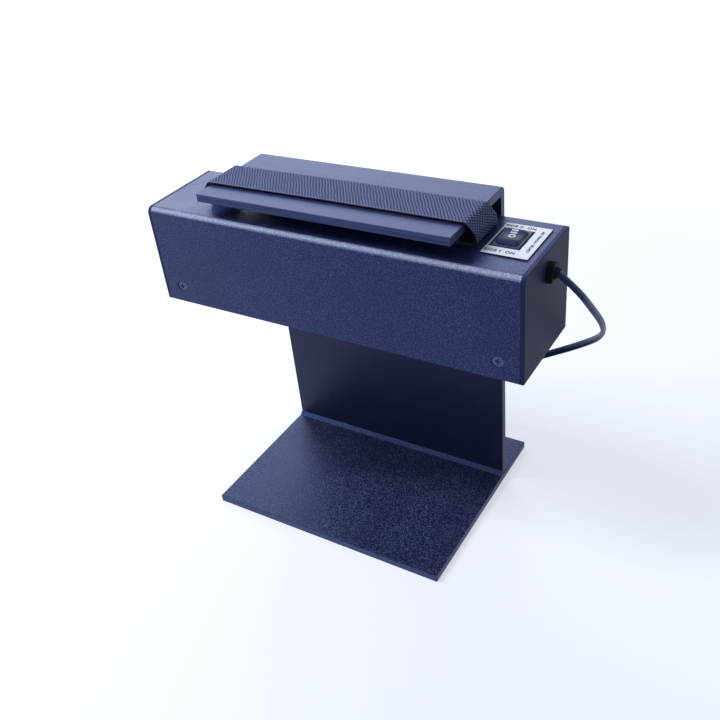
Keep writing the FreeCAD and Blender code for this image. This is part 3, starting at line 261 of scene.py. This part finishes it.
# Lamp tray and what it carries, all under the cover: folded aluminium, zinc-plated steel clips,
# nuts, rivets and plate, a polished reflector, drawn caps and cans, and a lacquered ballast.
dress(worked_metal("mill_aluminium", "#9fa3ab", "#c4c8cf", 0.6, 0.42), "lamp_tray")
dress(worked_metal("zinc_plated_steel", "#8d929a", "#b9bdc2", 0.8, 0.38),
      "filter_clips", "tray_nuts", "gear_plate", "gear_rivets", "ballast_screws", "strap_nuts")
dress(worked_metal("polished_aluminium", "#c2c5ca", "#dfe1e4", 0.4, 0.18), "reflector")
dress(worked_metal("drawn_aluminium", "#a9adb4", "#cdd0d4", 0.5, 0.3),
      "uva_tube_caps", "uvc_tube_caps", "uva_starter", "uvc_starter")
dress(worked_metal("lacquered_steel", "#6f747c", "#878c94", 1.5, 0.5, 0.2), "ballast")
dress(worked_metal("stamped_brass", "#a9853c", "#d0ab5c", 0.5, 0.35), "switch_contact", "switch_terminals")

# Lamp fittings and wiring: white holders and starter sockets, a cream terminal block, and brown and
# blue insulated wire, all injection moulded or extruded, with a slight flow cloud and soft shine.


def moulded_plastic(name, dark, light, cloud_mm, roughness, **constants):
    """Smooth moulded plastic: a faint cloud of tone and shine, and the mould's fine spark texture."""
    spark_mm, spark_depth = 0.35, 0.00002
    material, tree, shader = new_finish(name, IOR=1.5, Specular_Tint=linear("#b9c6fb"), **constants)
    place = add_node(tree, "TexCoord", {}).outputs["Object"]
    cloud = add_node(tree, "TexNoise", {"Vector": place, "Scale": 1000 / cloud_mm, "Detail": 4.0}).outputs[0]
    spark = add_node(tree, "TexNoise", {"Vector": place, "Scale": 1000 / spark_mm, "Detail": 2.0}).outputs[0]
    colour = add_node(tree, "Mix", {
        0: cloud, 6: linear(dark), 7: linear(light),
    }, data_type="RGBA").outputs[2]
    shine = add_node(tree, "MapRange", {
        "Value": cloud, "From Min": 0.3, "From Max": 0.7,
        "To Min": max(roughness - 0.05, 0.02), "To Max": roughness + 0.05,
    }).outputs[0]
    bump = add_node(tree, "Bump", {"Height": spark, "Strength": 0.5, "Distance": spark_depth}).outputs[0]
    tree.links.new(colour, shader.inputs["Base Color"])
    tree.links.new(shine, shader.inputs["Roughness"])
    tree.links.new(bump, shader.inputs["Normal"])
    return material


dress(moulded_plastic("white_polycarbonate", "#d3d2cb", "#e2e1db", 6.0, 0.4), "uva_holder_left",
      "uva_holder_right", "uvc_holder_left", "uvc_holder_right", "uva_starter_socket", "uvc_starter_socket")
dress(moulded_plastic("cream_polyamide", "#cfc8b2", "#ddd7c4", 5.0, 0.45), "terminal_block")
dress(moulded_plastic("brown_pvc_wire", "#4a2c18", "#5c3820", 4.0, 0.42),
      "switch_wires", "tube_wires_left")
dress(moulded_plastic("blue_pvc_wire", "#243f86", "#2f4e9c", 4.0, 0.42), "mains_cores", "tube_wires_right")

# Tubes and filter: a phosphor-coated long-wave tube, a clear quartz short-wave tube, and the dark
# violet filter glass over the window underneath, which is almost black to the eye.
dress(moulded_plastic("phosphor_coated_glass", "#dfe0ea", "#ecedf4", 20.0, 0.12), "uva_tube")
dress(moulded_plastic("quartz_glass", "#dfe8ee", "#edf4f8", 20.0, 0.07, Transmission_Weight=0.85),
      "uvc_tube")
dress(moulded_plastic("violet_filter_glass", "#0b0613", "#150b22", 30.0, 0.07), "filter_glass")

# Switch: a three-place rocker switch pressed into the cover from above, in black polyamide. The
# bezel, plunger and box are the CAD pieces; the rocker is modelled with its rounded edges.
switch_black = moulded_plastic("black_polyamide", "#161b33", "#232a4a", 3.0, 0.42)
dress(switch_black, "switch_body", "switch_plunger")

switch_x, switch_y = 0.1235, 0.006
rocker_low, rocker_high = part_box("switch_rocker")
rocker_half_width = (rocker_high.x - rocker_low.x) / 2
rocker_foot_half, rocker_top_half, rocker_dish, rocker_taper = 0.0098, 0.0073, 0.0017, 0.84
corner_round, corner_steps, edge_round, rocker_slices = 0.0012, 5, 0.0005, 14
skirt_z, shoulder_z, crown_z = 0.2366, 0.2400, rocker_high.z


def on_rocker(y):
    """The height of the rocker's hollow top at a place from front to back."""
    return crown_z - rocker_dish * (1 - min(1.0, abs(y - switch_y) / rocker_top_half) ** 2)


def select_only(mesh, kind, wanted):
    """In edit mode, selects just the edges or faces that wanted picks, and returns to edit mode."""
    bpy.ops.mesh.select_mode(type=kind)
    bpy.ops.mesh.select_all(action="DESELECT")
    bpy.ops.object.mode_set(mode="OBJECT")
    parts = {"EDGE": mesh.edges, "FACE": mesh.polygons}[kind]
    for part in parts:
        part.select = bool(wanted(part))
    bpy.ops.object.mode_set(mode="EDIT")


def settle(piece, name, material, body):
    """Names a finished piece, puts its place into its mesh, and rides it on its body."""
    piece.name = piece.data.name = name
    bpy.ops.object.select_all(action="DESELECT")
    piece.select_set(True)
    bpy.context.view_layer.objects.active = piece
    bpy.ops.object.transform_apply(location=True, rotation=True, scale=True)
    piece.data.materials.clear()
    piece.data.materials.append(material)
    if body:
        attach(piece, body)


def apply_modifier(piece, kind, **settings):
    """Adds a modifier with its settings and applies it."""
    modifier = piece.modifiers.new(kind.lower(), kind)
    for name, value in settings.items():
        setattr(modifier, name, value)
    bpy.context.view_layer.objects.active = piece
    bpy.ops.object.modifier_apply(modifier=modifier.name)


bpy.ops.object.select_all(action="DESELECT")
bpy.ops.mesh.primitive_cube_add(size=1, location=(switch_x, switch_y, (skirt_z + shoulder_z) / 2))
rocker = bpy.context.object
rocker.scale = (2 * rocker_half_width, 2 * rocker_foot_half, shoulder_z - skirt_z)
bpy.ops.object.transform_apply(location=True, rotation=True, scale=True)
bpy.ops.object.mode_set(mode="EDIT")
select_only(rocker.data, "FACE", lambda face: face.normal.z > 0.9)
bpy.ops.mesh.extrude_region_move(TRANSFORM_OT_translate={"value": (0, 0, crown_z - shoulder_z)})
bpy.ops.transform.resize(value=(rocker_taper, rocker_top_half / rocker_foot_half, 1),
                         center_override=(switch_x, switch_y, crown_z))
select_only(rocker.data, "EDGE", lambda edge: abs(
    rocker.data.vertices[edge.vertices[0]].co.z - rocker.data.vertices[edge.vertices[1]].co.z) > 0.001)
bpy.ops.mesh.bevel(offset=corner_round, segments=corner_steps, affect="EDGES")
for cut in range(1, rocker_slices):
    y = switch_y + rocker_foot_half * (cut / (rocker_slices / 2) - 1)
    bpy.ops.mesh.select_all(action="SELECT")
    bpy.ops.mesh.bisect(plane_co=(switch_x, y, crown_z), plane_no=(0, 1, 0))
bpy.ops.object.mode_set(mode="OBJECT")
for vertex in rocker.data.vertices:
    if vertex.co.z > crown_z - 1e-5:
        vertex.co.z = on_rocker(vertex.co.y)
apply_modifier(rocker, "BEVEL", width=edge_round, segments=3, limit_method="ANGLE",
               angle_limit=math.radians(38))
bpy.ops.object.shade_smooth_by_angle(angle=math.radians(35))
rocker_black = moulded_plastic("black_rocker_polyamide", "#1a2040", "#272f55", 3.0, 0.4,
                               Specular_IOR_Level=0.35)
settle(rocker, "rocker_cap", rocker_black, "rocker")
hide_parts("switch_rocker")

# Rocker marks: a ring for off and two bars, pad-printed in white ink on the rocker's hollow top.
# Each is a thin film that follows the hollow.
print_ink = moulded_plastic("white_print_ink", "#e6e8f2", "#f4f5fb", 1.5, 0.5)
film, above_rocker = 0.00005, 0.243
ring_radius, ring_hole_share = 0.0024, 0.52
bar_length, bar_width = 0.0044, 0.0013


def lay_on_rocker(piece, name):
    """Drops a flat mark onto the rocker's hollow and gives it the ink's thickness."""
    bpy.ops.object.transform_apply(location=True, rotation=True, scale=True)
    for vertex in piece.data.vertices:
        vertex.co.z = on_rocker(vertex.co.y) + film
    apply_modifier(piece, "SOLIDIFY", thickness=2 * film, offset=0.0)
    settle(piece, name, print_ink, "rocker")


bpy.ops.object.select_all(action="DESELECT")
bpy.ops.mesh.primitive_circle_add(vertices=40, radius=ring_radius,
                                  location=(switch_x - 0.0002, switch_y + 0.0002, above_rocker))
ring = bpy.context.object
bpy.ops.object.mode_set(mode="EDIT")
bpy.ops.mesh.select_all(action="SELECT")
bpy.ops.mesh.extrude_edges_move()
bpy.ops.transform.resize(value=(ring_hole_share, ring_hole_share, 1))
bpy.ops.object.mode_set(mode="OBJECT")
lay_on_rocker(ring, "off_ring_mark")
for bar, bar_y in enumerate((0.0039, 0.0060)):
    bpy.ops.object.select_all(action="DESELECT")
    bpy.ops.mesh.primitive_plane_add(size=1, location=(switch_x - 0.0004, switch_y + bar_y, above_rocker))
    mark = bpy.context.object
    mark.scale = (bar_length, bar_width, 1)
    bpy.ops.object.mode_set(mode="EDIT")
    bpy.ops.mesh.subdivide(number_cuts=5)
    bpy.ops.object.mode_set(mode="OBJECT")
    lay_on_rocker(mark, f"on_bar_mark_{bar + 1}")

# Label plate: 1 mm engraving laminate, white on a black core, stuck round the switch. Its sawn edges
# and the engraved letters show the core; only plain switch words are engraved.
laminate, tree, shader = new_finish("engraving_laminate", IOR=1.5)
place = add_node(tree, "TexCoord", {}).outputs["Object"]
normal = add_node(tree, "NewGeometry", {}).outputs["True Normal"]
up = add_node(tree, "SeparateXYZ", {0: normal}).outputs["Z"]
on_top = add_node(tree, "Math", {0: up, 1: 0.5}, operation="GREATER_THAN").outputs[0]
haze = add_node(tree, "TexNoise", {"Vector": place, "Scale": 1000 / 8.0, "Detail": 5.0}).outputs[0]
white = add_node(tree, "Mix", {
    0: haze, 6: linear("#e9ebf5"), 7: linear("#f8f9fd"),
}, data_type="RGBA").outputs[2]
colour = add_node(tree, "Mix", {0: on_top, 6: linear("#12162b"), 7: white}, data_type="RGBA").outputs[2]
tree.links.new(colour, shader.inputs["Base Color"])
tree.links.new(add_node(tree, "MapRange", {"Value": haze, "To Min": 0.35, "To Max": 0.55}).outputs[0],
               shader.inputs["Roughness"])
dress(laminate, "label_plate")

label_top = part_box("label_plate")[1].z
letter_swell, letter_spacing = 0.03, 1.16
core_black = moulded_plastic("laminate_core", "#171b31", "#23284a", 1.5, 0.6)
lettering = [
    ("front_words", "SIDE I  ON", 0.0038, (0.1126, -0.0134), 0),
    ("back_words", "SIDE II  ON", 0.0036, (0.1127, 0.0216), 0),
    ("side_words", "CENTRE = POWER OFF", 0.0025, (0.1400, -0.0082), 90),
]
for name, words, size, corner, turn in lettering:
    bpy.ops.object.select_all(action="DESELECT")
    bpy.ops.object.text_add(location=(corner[0], corner[1], label_top + film),
                            rotation=(0, 0, math.radians(turn)))
    letters = bpy.context.object
    letters.data.body = words
    letters.data.size = size
    letters.data.extrude = film
    letters.data.offset = size * letter_swell
    letters.data.space_character = letter_spacing
    letters.data.resolution_u = 4
    bpy.ops.object.convert(target="MESH")
    bpy.ops.object.mode_set(mode="EDIT")
    bpy.ops.mesh.select_all(action="SELECT")
    bpy.ops.mesh.remove_doubles(threshold=1e-6)
    bpy.ops.object.mode_set(mode="OBJECT")
    settle(bpy.context.object, name, core_black, "lamp")

# Hand strap: black elastic webbing 32 mm wide and 1.7 mm thick, over the carrying plate, down at both
# ends, folded under and screwed down. Staggered ribs drift a little along the face, their crowns painted
# lighter as if lit and the grooves between them darker, a painted shade. The beaded selvedge carries a
# painted highlight, and its side edge a dark painted shadow.
strap_width, strap_thickness, strap_step = 0.032, 0.0017, 0.0006
rib_pitch, rib_column, rib_height = 0.0024, 0.0018, 0.00026
selvedge_from, selvedge_span, bead_height = 0.93, 0.07, 0.00025
strap_set, strap_fall_lean, strap_skew = -0.0035, 0.009, 0.0022
drift_long, drift_short = 0.00022, 0.00018
strap_low, strap_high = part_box("hand_strap")
bed_z, crest_z = strap_low.z + strap_thickness / 2, strap_high.z - strap_thickness / 2
plate_low, plate_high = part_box("stand_bracket")
shoulder = strap_thickness / 2 + 0.0004
left_bulge, right_bulge, bulge_z = strap_low.x + 0.0030, strap_high.x - 0.0040, bed_z + 0.0098
strap_end, fold_radius, bulge_radius, shoulder_radius = 0.0840, 0.0042, 0.0040, 0.0030
strap_route = [
    (-strap_end, bed_z, 0), (left_bulge + 0.001, bed_z, fold_radius), (left_bulge, bulge_z, bulge_radius),
    (plate_low.x - shoulder, crest_z, shoulder_radius), (plate_high.x + shoulder, crest_z, shoulder_radius),
    (right_bulge, bulge_z, bulge_radius), (right_bulge - 0.001, bed_z, fold_radius), (strap_end, bed_z, 0),
]


def along_strap(route, step):
    """Points and upward normals along the strap's middle line, its folds rounded, a step apart."""
    fold_steps = 24
    dense = []
    for index, (x, z, radius) in enumerate(route):
        here = Vector((x, z))
        if not radius:
            dense.append(here)
            continue
        before = (Vector(route[index - 1][:2]) - here).normalized()
        after = (Vector(route[index + 1][:2]) - here).normalized()
        half = before.angle(after) / 2
        centre = here + (before + after).normalized() * radius / math.sin(half)
        start = here + before * radius / math.tan(half) - centre
        sweep = (math.pi - 2 * half) * (1 if before.x * after.y - before.y * after.x < 0 else -1)
        for part in range(fold_steps + 1):
            turn = Matrix.Rotation(sweep * part / fold_steps, 2)
            dense.append(centre + turn @ start)
    reach = [0.0]
    for a, b in zip(dense, dense[1:]):
        reach.append(reach[-1] + (b - a).length)
    count = round(reach[-1] / step)
    line, at = [], 0
    for number in range(count + 1):
        s = reach[-1] * number / count
        while at < len(dense) - 2 and reach[at + 1] < s:
            at += 1
        share = (s - reach[at]) / (reach[at + 1] - reach[at])
        heading = (dense[at + 1] - dense[at]).normalized()
        line.append((dense[at].lerp(dense[at + 1], share), Vector((-heading.y, heading.x))))
    return line, reach[-1]


strap_line, strap_length = along_strap(strap_route, strap_step)
across_count = round(strap_width / strap_step)
bpy.ops.object.select_all(action="DESELECT")
bpy.ops.mesh.primitive_grid_add(x_subdivisions=len(strap_line) - 1, y_subdivisions=across_count, size=1)
strap = bpy.context.object
grid = strap.data
uv = grid.uv_layers.active or grid.uv_layers.new(name="UVMap")
flat = []
for vertex in grid.vertices:
    u, v = vertex.co.x + 0.5, vertex.co.y * strap_width
    s = u * strap_length
    drift = drift_long * math.sin(165 * s + 300 * v) + drift_short * math.sin(385 * s - 190 * v)
    flat.append((u, v, s + drift))
for loop in grid.loops:
    v, woven = flat[loop.vertex_index][1:]
    uv.data[loop.index].uv = (woven, v)
for vertex, (u, v, woven) in zip(grid.vertices, flat):
    point, normal = strap_line[round(u * (len(strap_line) - 1))]
    rib = math.cos(2 * math.pi * woven / rib_pitch) * math.cos(math.pi * v / rib_column)
    edge = max(0.0, abs(v) / (strap_width / 2) - selvedge_from) / selvedge_span
    lift = rib_height * rib * (1 - edge) + bead_height * math.sin(math.pi * min(1.0, edge))
    fall = (crest_z - point.y) / (crest_z - bed_z)
    lean = strap_set + strap_fall_lean * fall - strap_skew * max(0.0, 0.5 - u) * 2
    vertex.co = (point.x + normal.x * lift, v + lean, point.y + normal.y * lift)
apply_modifier(strap, "SOLIDIFY", thickness=strap_thickness, offset=0.0)
bpy.ops.object.shade_smooth_by_angle(angle=math.radians(50))

webbing, tree, shader = new_finish("elastic_webbing", IOR=1.45, Specular_IOR_Level=0.3)
uv_place = add_node(tree, "TexCoord", {}).outputs["UV"]
parts = add_node(tree, "SeparateXYZ", {0: uv_place})
along = add_node(tree, "Math", {0: parts.outputs["X"], 1: 2 * math.pi / rib_pitch},
                 operation="MULTIPLY").outputs[0]
wave = add_node(tree, "Math", {0: along}, operation="COSINE").outputs[0]
across = add_node(tree, "Math", {0: parts.outputs["Y"], 1: math.pi / rib_column},
                  operation="MULTIPLY").outputs[0]
column = add_node(tree, "Math", {0: across}, operation="COSINE").outputs[0]
rib = add_node(tree, "Math", {0: wave, 1: column}, operation="MULTIPLY").outputs[0]
yarn = add_node(tree, "TexNoise", {"Vector": uv_place, "Scale": 1000 / 0.5, "Detail": 2.0}).outputs[0]
lift = add_node(tree, "Math", {0: yarn, 1: 0.7, 2: rib}, operation="MULTIPLY_ADD").outputs[0]
crown = add_node(tree, "MapRange", {"Value": lift, "From Min": -0.1, "From Max": 1.25}).outputs[0]
side = add_node(tree, "Math", {0: parts.outputs["Y"]}, operation="ABSOLUTE").outputs[0]
bead = add_node(tree, "MapRange", {
    "Value": side, "From Min": strap_width / 2 - 0.0012, "From Max": strap_width / 2 - 0.0004,
}).outputs[0]
# Painted highlight and shade: rib crowns are mixed towards a light colour as if lit, the grooves towards
# near black as if in shade.
lit_and_shaded_cloth = add_node(tree, "Mix", {
    0: crown, 6: linear("#060812"), 7: linear("#6875ab"),
}, data_type="RGBA").outputs[2]
# Painted highlight: a light line along the beaded selvedge.
colour = add_node(tree, "Mix", {0: bead, 6: lit_and_shaded_cloth, 7: linear("#7683b3")}, data_type="RGBA").outputs[2]
# Painted shadow: a dark line at the strap's very side edge.
cut = add_node(tree, "MapRange", {
    "Value": side, "From Min": strap_width / 2 - 0.0006, "From Max": strap_width / 2 - 0.0002,
}).outputs[0]
colour = add_node(tree, "Mix", {0: cut, 6: colour, 7: linear("#0a0d1c")}, data_type="RGBA").outputs[2]
bump = add_node(tree, "Bump", {"Height": lift, "Strength": 0.7, "Distance": 0.00018}).outputs[0]
tree.links.new(colour, shader.inputs["Base Color"])
tree.links.new(add_node(tree, "MapRange", {"Value": crown, "To Min": 0.75, "To Max": 0.5}).outputs[0],
               shader.inputs["Roughness"])
tree.links.new(bump, shader.inputs["Normal"])
settle(strap, "hand_strap_webbing", webbing, "lamp")
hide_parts("hand_strap")

# Strap clamps: flat steel bars painted black, one across each folded end of the strap. Two blued
# steel screws through each bar and the cover hold it, with nuts inside.
dress(worked_metal("black_painted_steel", "#1d2340", "#2a3156", 0.7, 0.4, 0.1),
      "strap_clamp_left", "strap_clamp_right")
dress(worked_metal("blued_screw_steel", "#2d3350", "#545f88", 0.4, 0.4, 0.6), "strap_screws")

# Cord bush: a black nylon strain relief snapped into the right end plate, with a thick round flange
# and a tapered nose that the cord leaves on a slant.
dress(moulded_plastic("black_nylon", "#05060b", "#0a0c15", 4.0, 0.6, Specular_IOR_Level=0.2), "cord_bush")

# Mains cord: flat twin cord in black PVC, 5.4 by 3.4 mm, from the bush down behind the lamp to a tied
# coil behind the stand and on to its plug. One spline carries it from end to end.
cord_width, cord_height = 0.0054, 0.0034
lead_route = [
    (157, 2.2, 222.5), (169.5, 3, 212), (173.5, 16, 194.5), (176.5, 37.5, 169), (169, 62.5, 142.5),
    (146, 78, 119), (118.5, 86, 98.5), (86, 90.5, 77.5), (60, 94.5, 52), (42, 96, 25),
    (25, 92.25, 4), (1.4, 92.25, 4),
]
tail_route = [(-9.4, 92.25, 22), (-25.5, 92.25, 22), (-47, 108, 6.8), (-63, 108, 6.8)]
coil_turns, points_per_turn, layer_turns, layer_count = 7, 24, 1.75, 4
coil_inner, coil_outer, turn_step, layer_rise = 24.75, 35.25, 6, 6
coil_x, coil_y, coil_z = -4, 127.5, 4.0


def coil_point(t):
    """A place on the coil, t turns from its start: four layers, wound in and out by turns."""
    angle = -math.pi / 2 - 2 * math.pi * t
    layer = min(int(t / layer_turns), layer_count - 1)
    along = t - layer * layer_turns
    radius = coil_inner + turn_step * along if layer % 2 else coil_outer - turn_step * along
    z = coil_z
    for rise in range(1, layer_count):
        share = min(1.0, max(0.0, (t - (layer_turns * rise - 0.25)) / 0.5))
        z += layer_rise * share * share * (3 - 2 * share)
    return (coil_x + radius * math.cos(angle), coil_y + radius * math.sin(angle), z)


coil_route = [coil_point(step / points_per_turn) for step in range(coil_turns * points_per_turn + 1)]
route = [Vector(p) / 1000 for p in lead_route + coil_route + tail_route]
curve = bpy.data.curves.new("cord_route", "CURVE")
curve.dimensions = "3D"
spline = curve.splines.new("NURBS")
spline.points.add(len(route) - 1)
for point, place in zip(spline.points, route):
    point.co = (*place, 1.0)
spline.order_u = 3
spline.use_endpoint_u = True
spline.resolution_u = 5
carrier = bpy.data.objects.new("cord_route", curve)
bpy.context.scene.collection.objects.link(carrier)
bpy.context.view_layer.update()
drawn = bpy.data.meshes.new_from_object(carrier)
cord_line = [v.co.copy() for v in drawn.vertices]
bpy.data.objects.remove(carrier)
bpy.data.curves.remove(curve)
bpy.data.meshes.remove(drawn)

cord_reach = [0.0]
for a, b in zip(cord_line, cord_line[1:]):
    cord_reach.append(cord_reach[-1] + (b - a).length)
cord_length = cord_reach[-1]
flat_side = [(0.0, (0, 1, 0)), (0.06, (0, 1, 0)), (0.16, (-0.32, 0.46, 0.83)), (0.33, (0, 0, 1)),
             (cord_length - 0.05, (0, 0, 1)), (cord_length, (0, 1, 0))]


def wide_way(s):
    """Which way the flat cord's width points, some way along it."""
    for (s0, way0), (s1, way1) in zip(flat_side, flat_side[1:]):
        if s <= s1:
            return Vector(way0).lerp(Vector(way1), (s - s0) / (s1 - s0))
    return Vector(flat_side[-1][1])


ring_count, squareness = 20, 0.8
section = []
for corner in range(ring_count):
    angle = 2 * math.pi * corner / ring_count
    c, s = math.cos(angle), math.sin(angle)
    section.append((math.copysign(abs(c) ** squareness, c) * cord_width / 2,
                    math.copysign(abs(s) ** squareness, s) * cord_height / 2))
cord_points, cord_faces, cord_uv = [], [], []
for index, place in enumerate(cord_line):
    ahead = (cord_line[min(index + 1, len(cord_line) - 1)] - cord_line[max(index - 1, 0)]).normalized()
    wide = wide_way(cord_reach[index])
    wide = (wide - ahead * wide.dot(ahead)).normalized()
    thin = ahead.cross(wide)
    cord_points += [place + wide * a + thin * b for a, b in section]
for index in range(len(cord_line) - 1):
    for corner in range(ring_count):
        after = (corner + 1) % ring_count
        cord_faces.append([index * ring_count + corner, index * ring_count + after,
                           (index + 1) * ring_count + after, (index + 1) * ring_count + corner])
        u0, u1 = corner / ring_count, (corner + 1) / ring_count
        cord_uv += [(cord_reach[index], u0), (cord_reach[index], u1),
                    (cord_reach[index + 1], u1), (cord_reach[index + 1], u0)]
last = (len(cord_line) - 1) * ring_count
cord_faces += [list(range(ring_count))[::-1], [last + corner for corner in range(ring_count)]]
cord_uv += [(0.0, 0.0)] * (2 * ring_count)
cord_mesh = bpy.data.meshes.new("mains_cord")
cord_mesh.from_pydata(cord_points, [], cord_faces)
cord_map = cord_mesh.uv_layers.new(name="UVMap")
for place, mapped in zip(cord_map.data, cord_uv):
    place.uv = mapped
cord = bpy.data.objects.new("mains_cord", cord_mesh)
bpy.context.scene.collection.objects.link(cord)
bpy.ops.object.select_all(action="DESELECT")
cord.select_set(True)
bpy.context.view_layer.objects.active = cord
bpy.ops.object.shade_smooth_by_angle(angle=math.radians(60))

cord_pvc, tree, shader = new_finish("cord_pvc", IOR=1.52, Specular_IOR_Level=0.35, Specular_Tint=cool_sheen)
uv_place = add_node(tree, "TexCoord", {}).outputs["UV"]
drawn_lines = add_node(tree, "Mapping", {"Vector": uv_place, "Scale": (60.0, 24.0, 1.0)}).outputs[0]
line_tone = add_node(tree, "TexNoise", {"Vector": drawn_lines, "Scale": 1.0, "Detail": 3.0}).outputs[0]
tree.links.new(add_node(tree, "Mix", {0: line_tone, 6: linear("#121a3a"), 7: linear("#232e5c")},
                        data_type="RGBA").outputs[2], shader.inputs["Base Color"])
tree.links.new(add_node(tree, "MapRange", {"Value": line_tone, "To Min": 0.28, "To Max": 0.48}).outputs[0],
               shader.inputs["Roughness"])
bump = add_node(tree, "Bump", {"Height": line_tone, "Strength": 0.4, "Distance": 0.00004}).outputs[0]
tree.links.new(bump, shader.inputs["Normal"])
dress(cord_pvc, "cord_entry")
settle(cord, "mains_cord", cord_pvc, None)
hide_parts("cord_lead", "cord_coil", "cord_tail")
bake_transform(cord)

# Coil tie and plug: a moulded nylon tie round the coil's back, and a flat two-pin plug moulded onto
# the cord's end, its pins of turned brass, bright at the tips.
dress(moulded_plastic("nylon_tie", "#151a2e", "#222845", 3.0, 0.45), "coil_tie")
dress(moulded_plastic("plug_pvc", "#141829", "#20263f", 5.0, 0.4), "plug_body")
dress(worked_metal("nickelled_brass", "#b9b6ab", "#d8d5cb", 0.5, 0.25), "plug_pins")

# Floor: a wide sheet of white paper. Towards the front right its glow is a little darker and lavender,
# a painted shade. To the camera it is near white by itself, and it keeps the object's soft shadow.


def seen_directly(tree):
    """1 for what the camera sees, by itself, in a gloss or through glass, and 0 for stray light."""
    rays = add_node(tree, "LightPath", {}).outputs
    shown = add_node(tree, "Math", {0: rays["Is Camera Ray"], 1: rays["Is Glossy Ray"]}, operation="MAXIMUM")
    return add_node(tree, "Math", {0: shown.outputs[0], 1: rays["Is Transmission Ray"]},
                    operation="MAXIMUM").outputs[0]


bpy.ops.object.select_all(action="DESELECT")
bpy.ops.mesh.primitive_plane_add(size=14, location=(0, 0, 0))
floor = bpy.context.object
floor.name = "floor"
paper = bpy.data.materials.new("white_paper")
paper.use_nodes = True
tree = paper.node_tree
tree.nodes.remove(tree.nodes["Principled BSDF"])
place = add_node(tree, "TexCoord", {}).outputs["Object"]
corner = add_node(tree, "VectorMath", {0: place, 1: (0.62, -0.42, 0.0)},
                  operation="DISTANCE").outputs["Value"]
# Painted shade: the floor's glow darkens to lavender towards the front right.
painted_corner_shade = add_node(tree, "MapRange", {
    "Value": corner, "From Min": 0.15, "From Max": 0.75, "To Min": 1.0, "To Max": 0.0,
}, interpolation_type="SMOOTHSTEP").outputs[0]
near = add_node(tree, "Mix", {
    0: painted_corner_shade, 6: (0.56, 0.57, 0.60, 1), 7: (0.50, 0.53, 0.63, 1),
}, data_type="RGBA").outputs[2]
reach = add_node(tree, "VectorMath", {0: place}, operation="LENGTH").outputs["Value"]
far = add_node(tree, "MapRange", {"Value": reach, "From Min": 0.45, "From Max": 1.1},
               interpolation_type="SMOOTHSTEP").outputs[0]
glow = add_node(tree, "Mix", {0: far, 6: near, 7: (1, 1, 1, 1)}, data_type="RGBA").outputs[2]
lit = add_node(tree, "BsdfDiffuse", {"Color": (0.56, 0.57, 0.62, 1)}).outputs[0]
bright = add_node(tree, "Emission", {"Color": glow, "Strength": 1.0}).outputs[0]
both = add_node(tree, "AddShader", {0: lit, 1: bright}).outputs[0]
under = add_node(tree, "BsdfDiffuse", {"Color": (0.42, 0.44, 0.50, 1)}).outputs[0]
shown = add_node(tree, "MixShader", {0: seen_directly(tree), 1: under, 2: both}).outputs[0]
tree.links.new(shown, tree.nodes["Material Output"].inputs["Surface"])
floor.data.materials.append(paper)

# Studio light: a dim even room, a long soft box overhead on the left that lights the rounded front
# edge, and a wide one behind on the left whose sheen lies on the top faces. The camera sees white all
# round, by itself and in reflections.
world = bpy.data.worlds.new("studio")
bpy.context.scene.world = world
world.use_nodes = True
tree = world.node_tree
room = tree.nodes["Background"]
room.inputs["Color"].default_value = (0.80, 0.88, 1.0, 1)
room.inputs["Strength"].default_value = 0.25
white = add_node(tree, "Background", {"Color": (1, 1, 1, 1), "Strength": 1.0}).outputs[0]
sky = add_node(tree, "MixShader", {0: seen_directly(tree), 1: room.outputs[0], 2: white}).outputs[0]
tree.links.new(sky, tree.nodes["World Output"].inputs["Surface"])


def soft_box(name, place, target, size, watts, colour):
    """A large rectangular studio light that faces the object."""
    light = bpy.data.lights.new(name, "AREA")
    light.shape = "RECTANGLE"
    light.size, light.size_y = size
    light.energy = watts
    light.color = colour
    lamp = bpy.data.objects.new(name, light)
    bpy.context.scene.collection.objects.link(lamp)
    lamp.location = place
    lamp.rotation_euler = (Vector(target) - Vector(place)).to_track_quat("-Z", "Y").to_euler()


middle = (0, 0, 0.2)
soft_box("top_box", (-0.86, -0.50, 1.45), middle, (0.28, 1.1), 18.0, (0.86, 0.91, 1.0))
soft_box("back_box", (-0.95, 1.25, 1.15), middle, (1.3, 1.3), 15.0, (0.74, 0.83, 1.0))

# Camera: a short portrait lens at the photograph's place, a little above the lamp and to its right,
# with the photograph's slight roll.
camera_data = bpy.data.cameras.new("camera")
camera_data.sensor_width = 36.0
camera_data.lens = 43.721
camera_data.clip_start = 0.02
camera = bpy.data.objects.new("camera", camera_data)
bpy.context.scene.collection.objects.link(camera)
eye = (0.319054, -0.459147, 0.497055)
azimuth, elevation, roll = (math.radians(angle) for angle in (34.756, 34.255, -6.748))
back = Vector((math.sin(azimuth) * math.cos(elevation), -math.cos(azimuth) * math.cos(elevation),
               math.sin(elevation)))
side = Vector((math.cos(azimuth), math.sin(azimuth), 0))
turned = Matrix((side, back.cross(side), back)).transposed() @ Matrix.Rotation(roll, 3, "Z")
camera.matrix_world = Matrix.Translation(eye) @ turned.to_4x4()
bpy.context.scene.camera = camera
bpy.context.scene.view_settings.view_transform = "Standard"
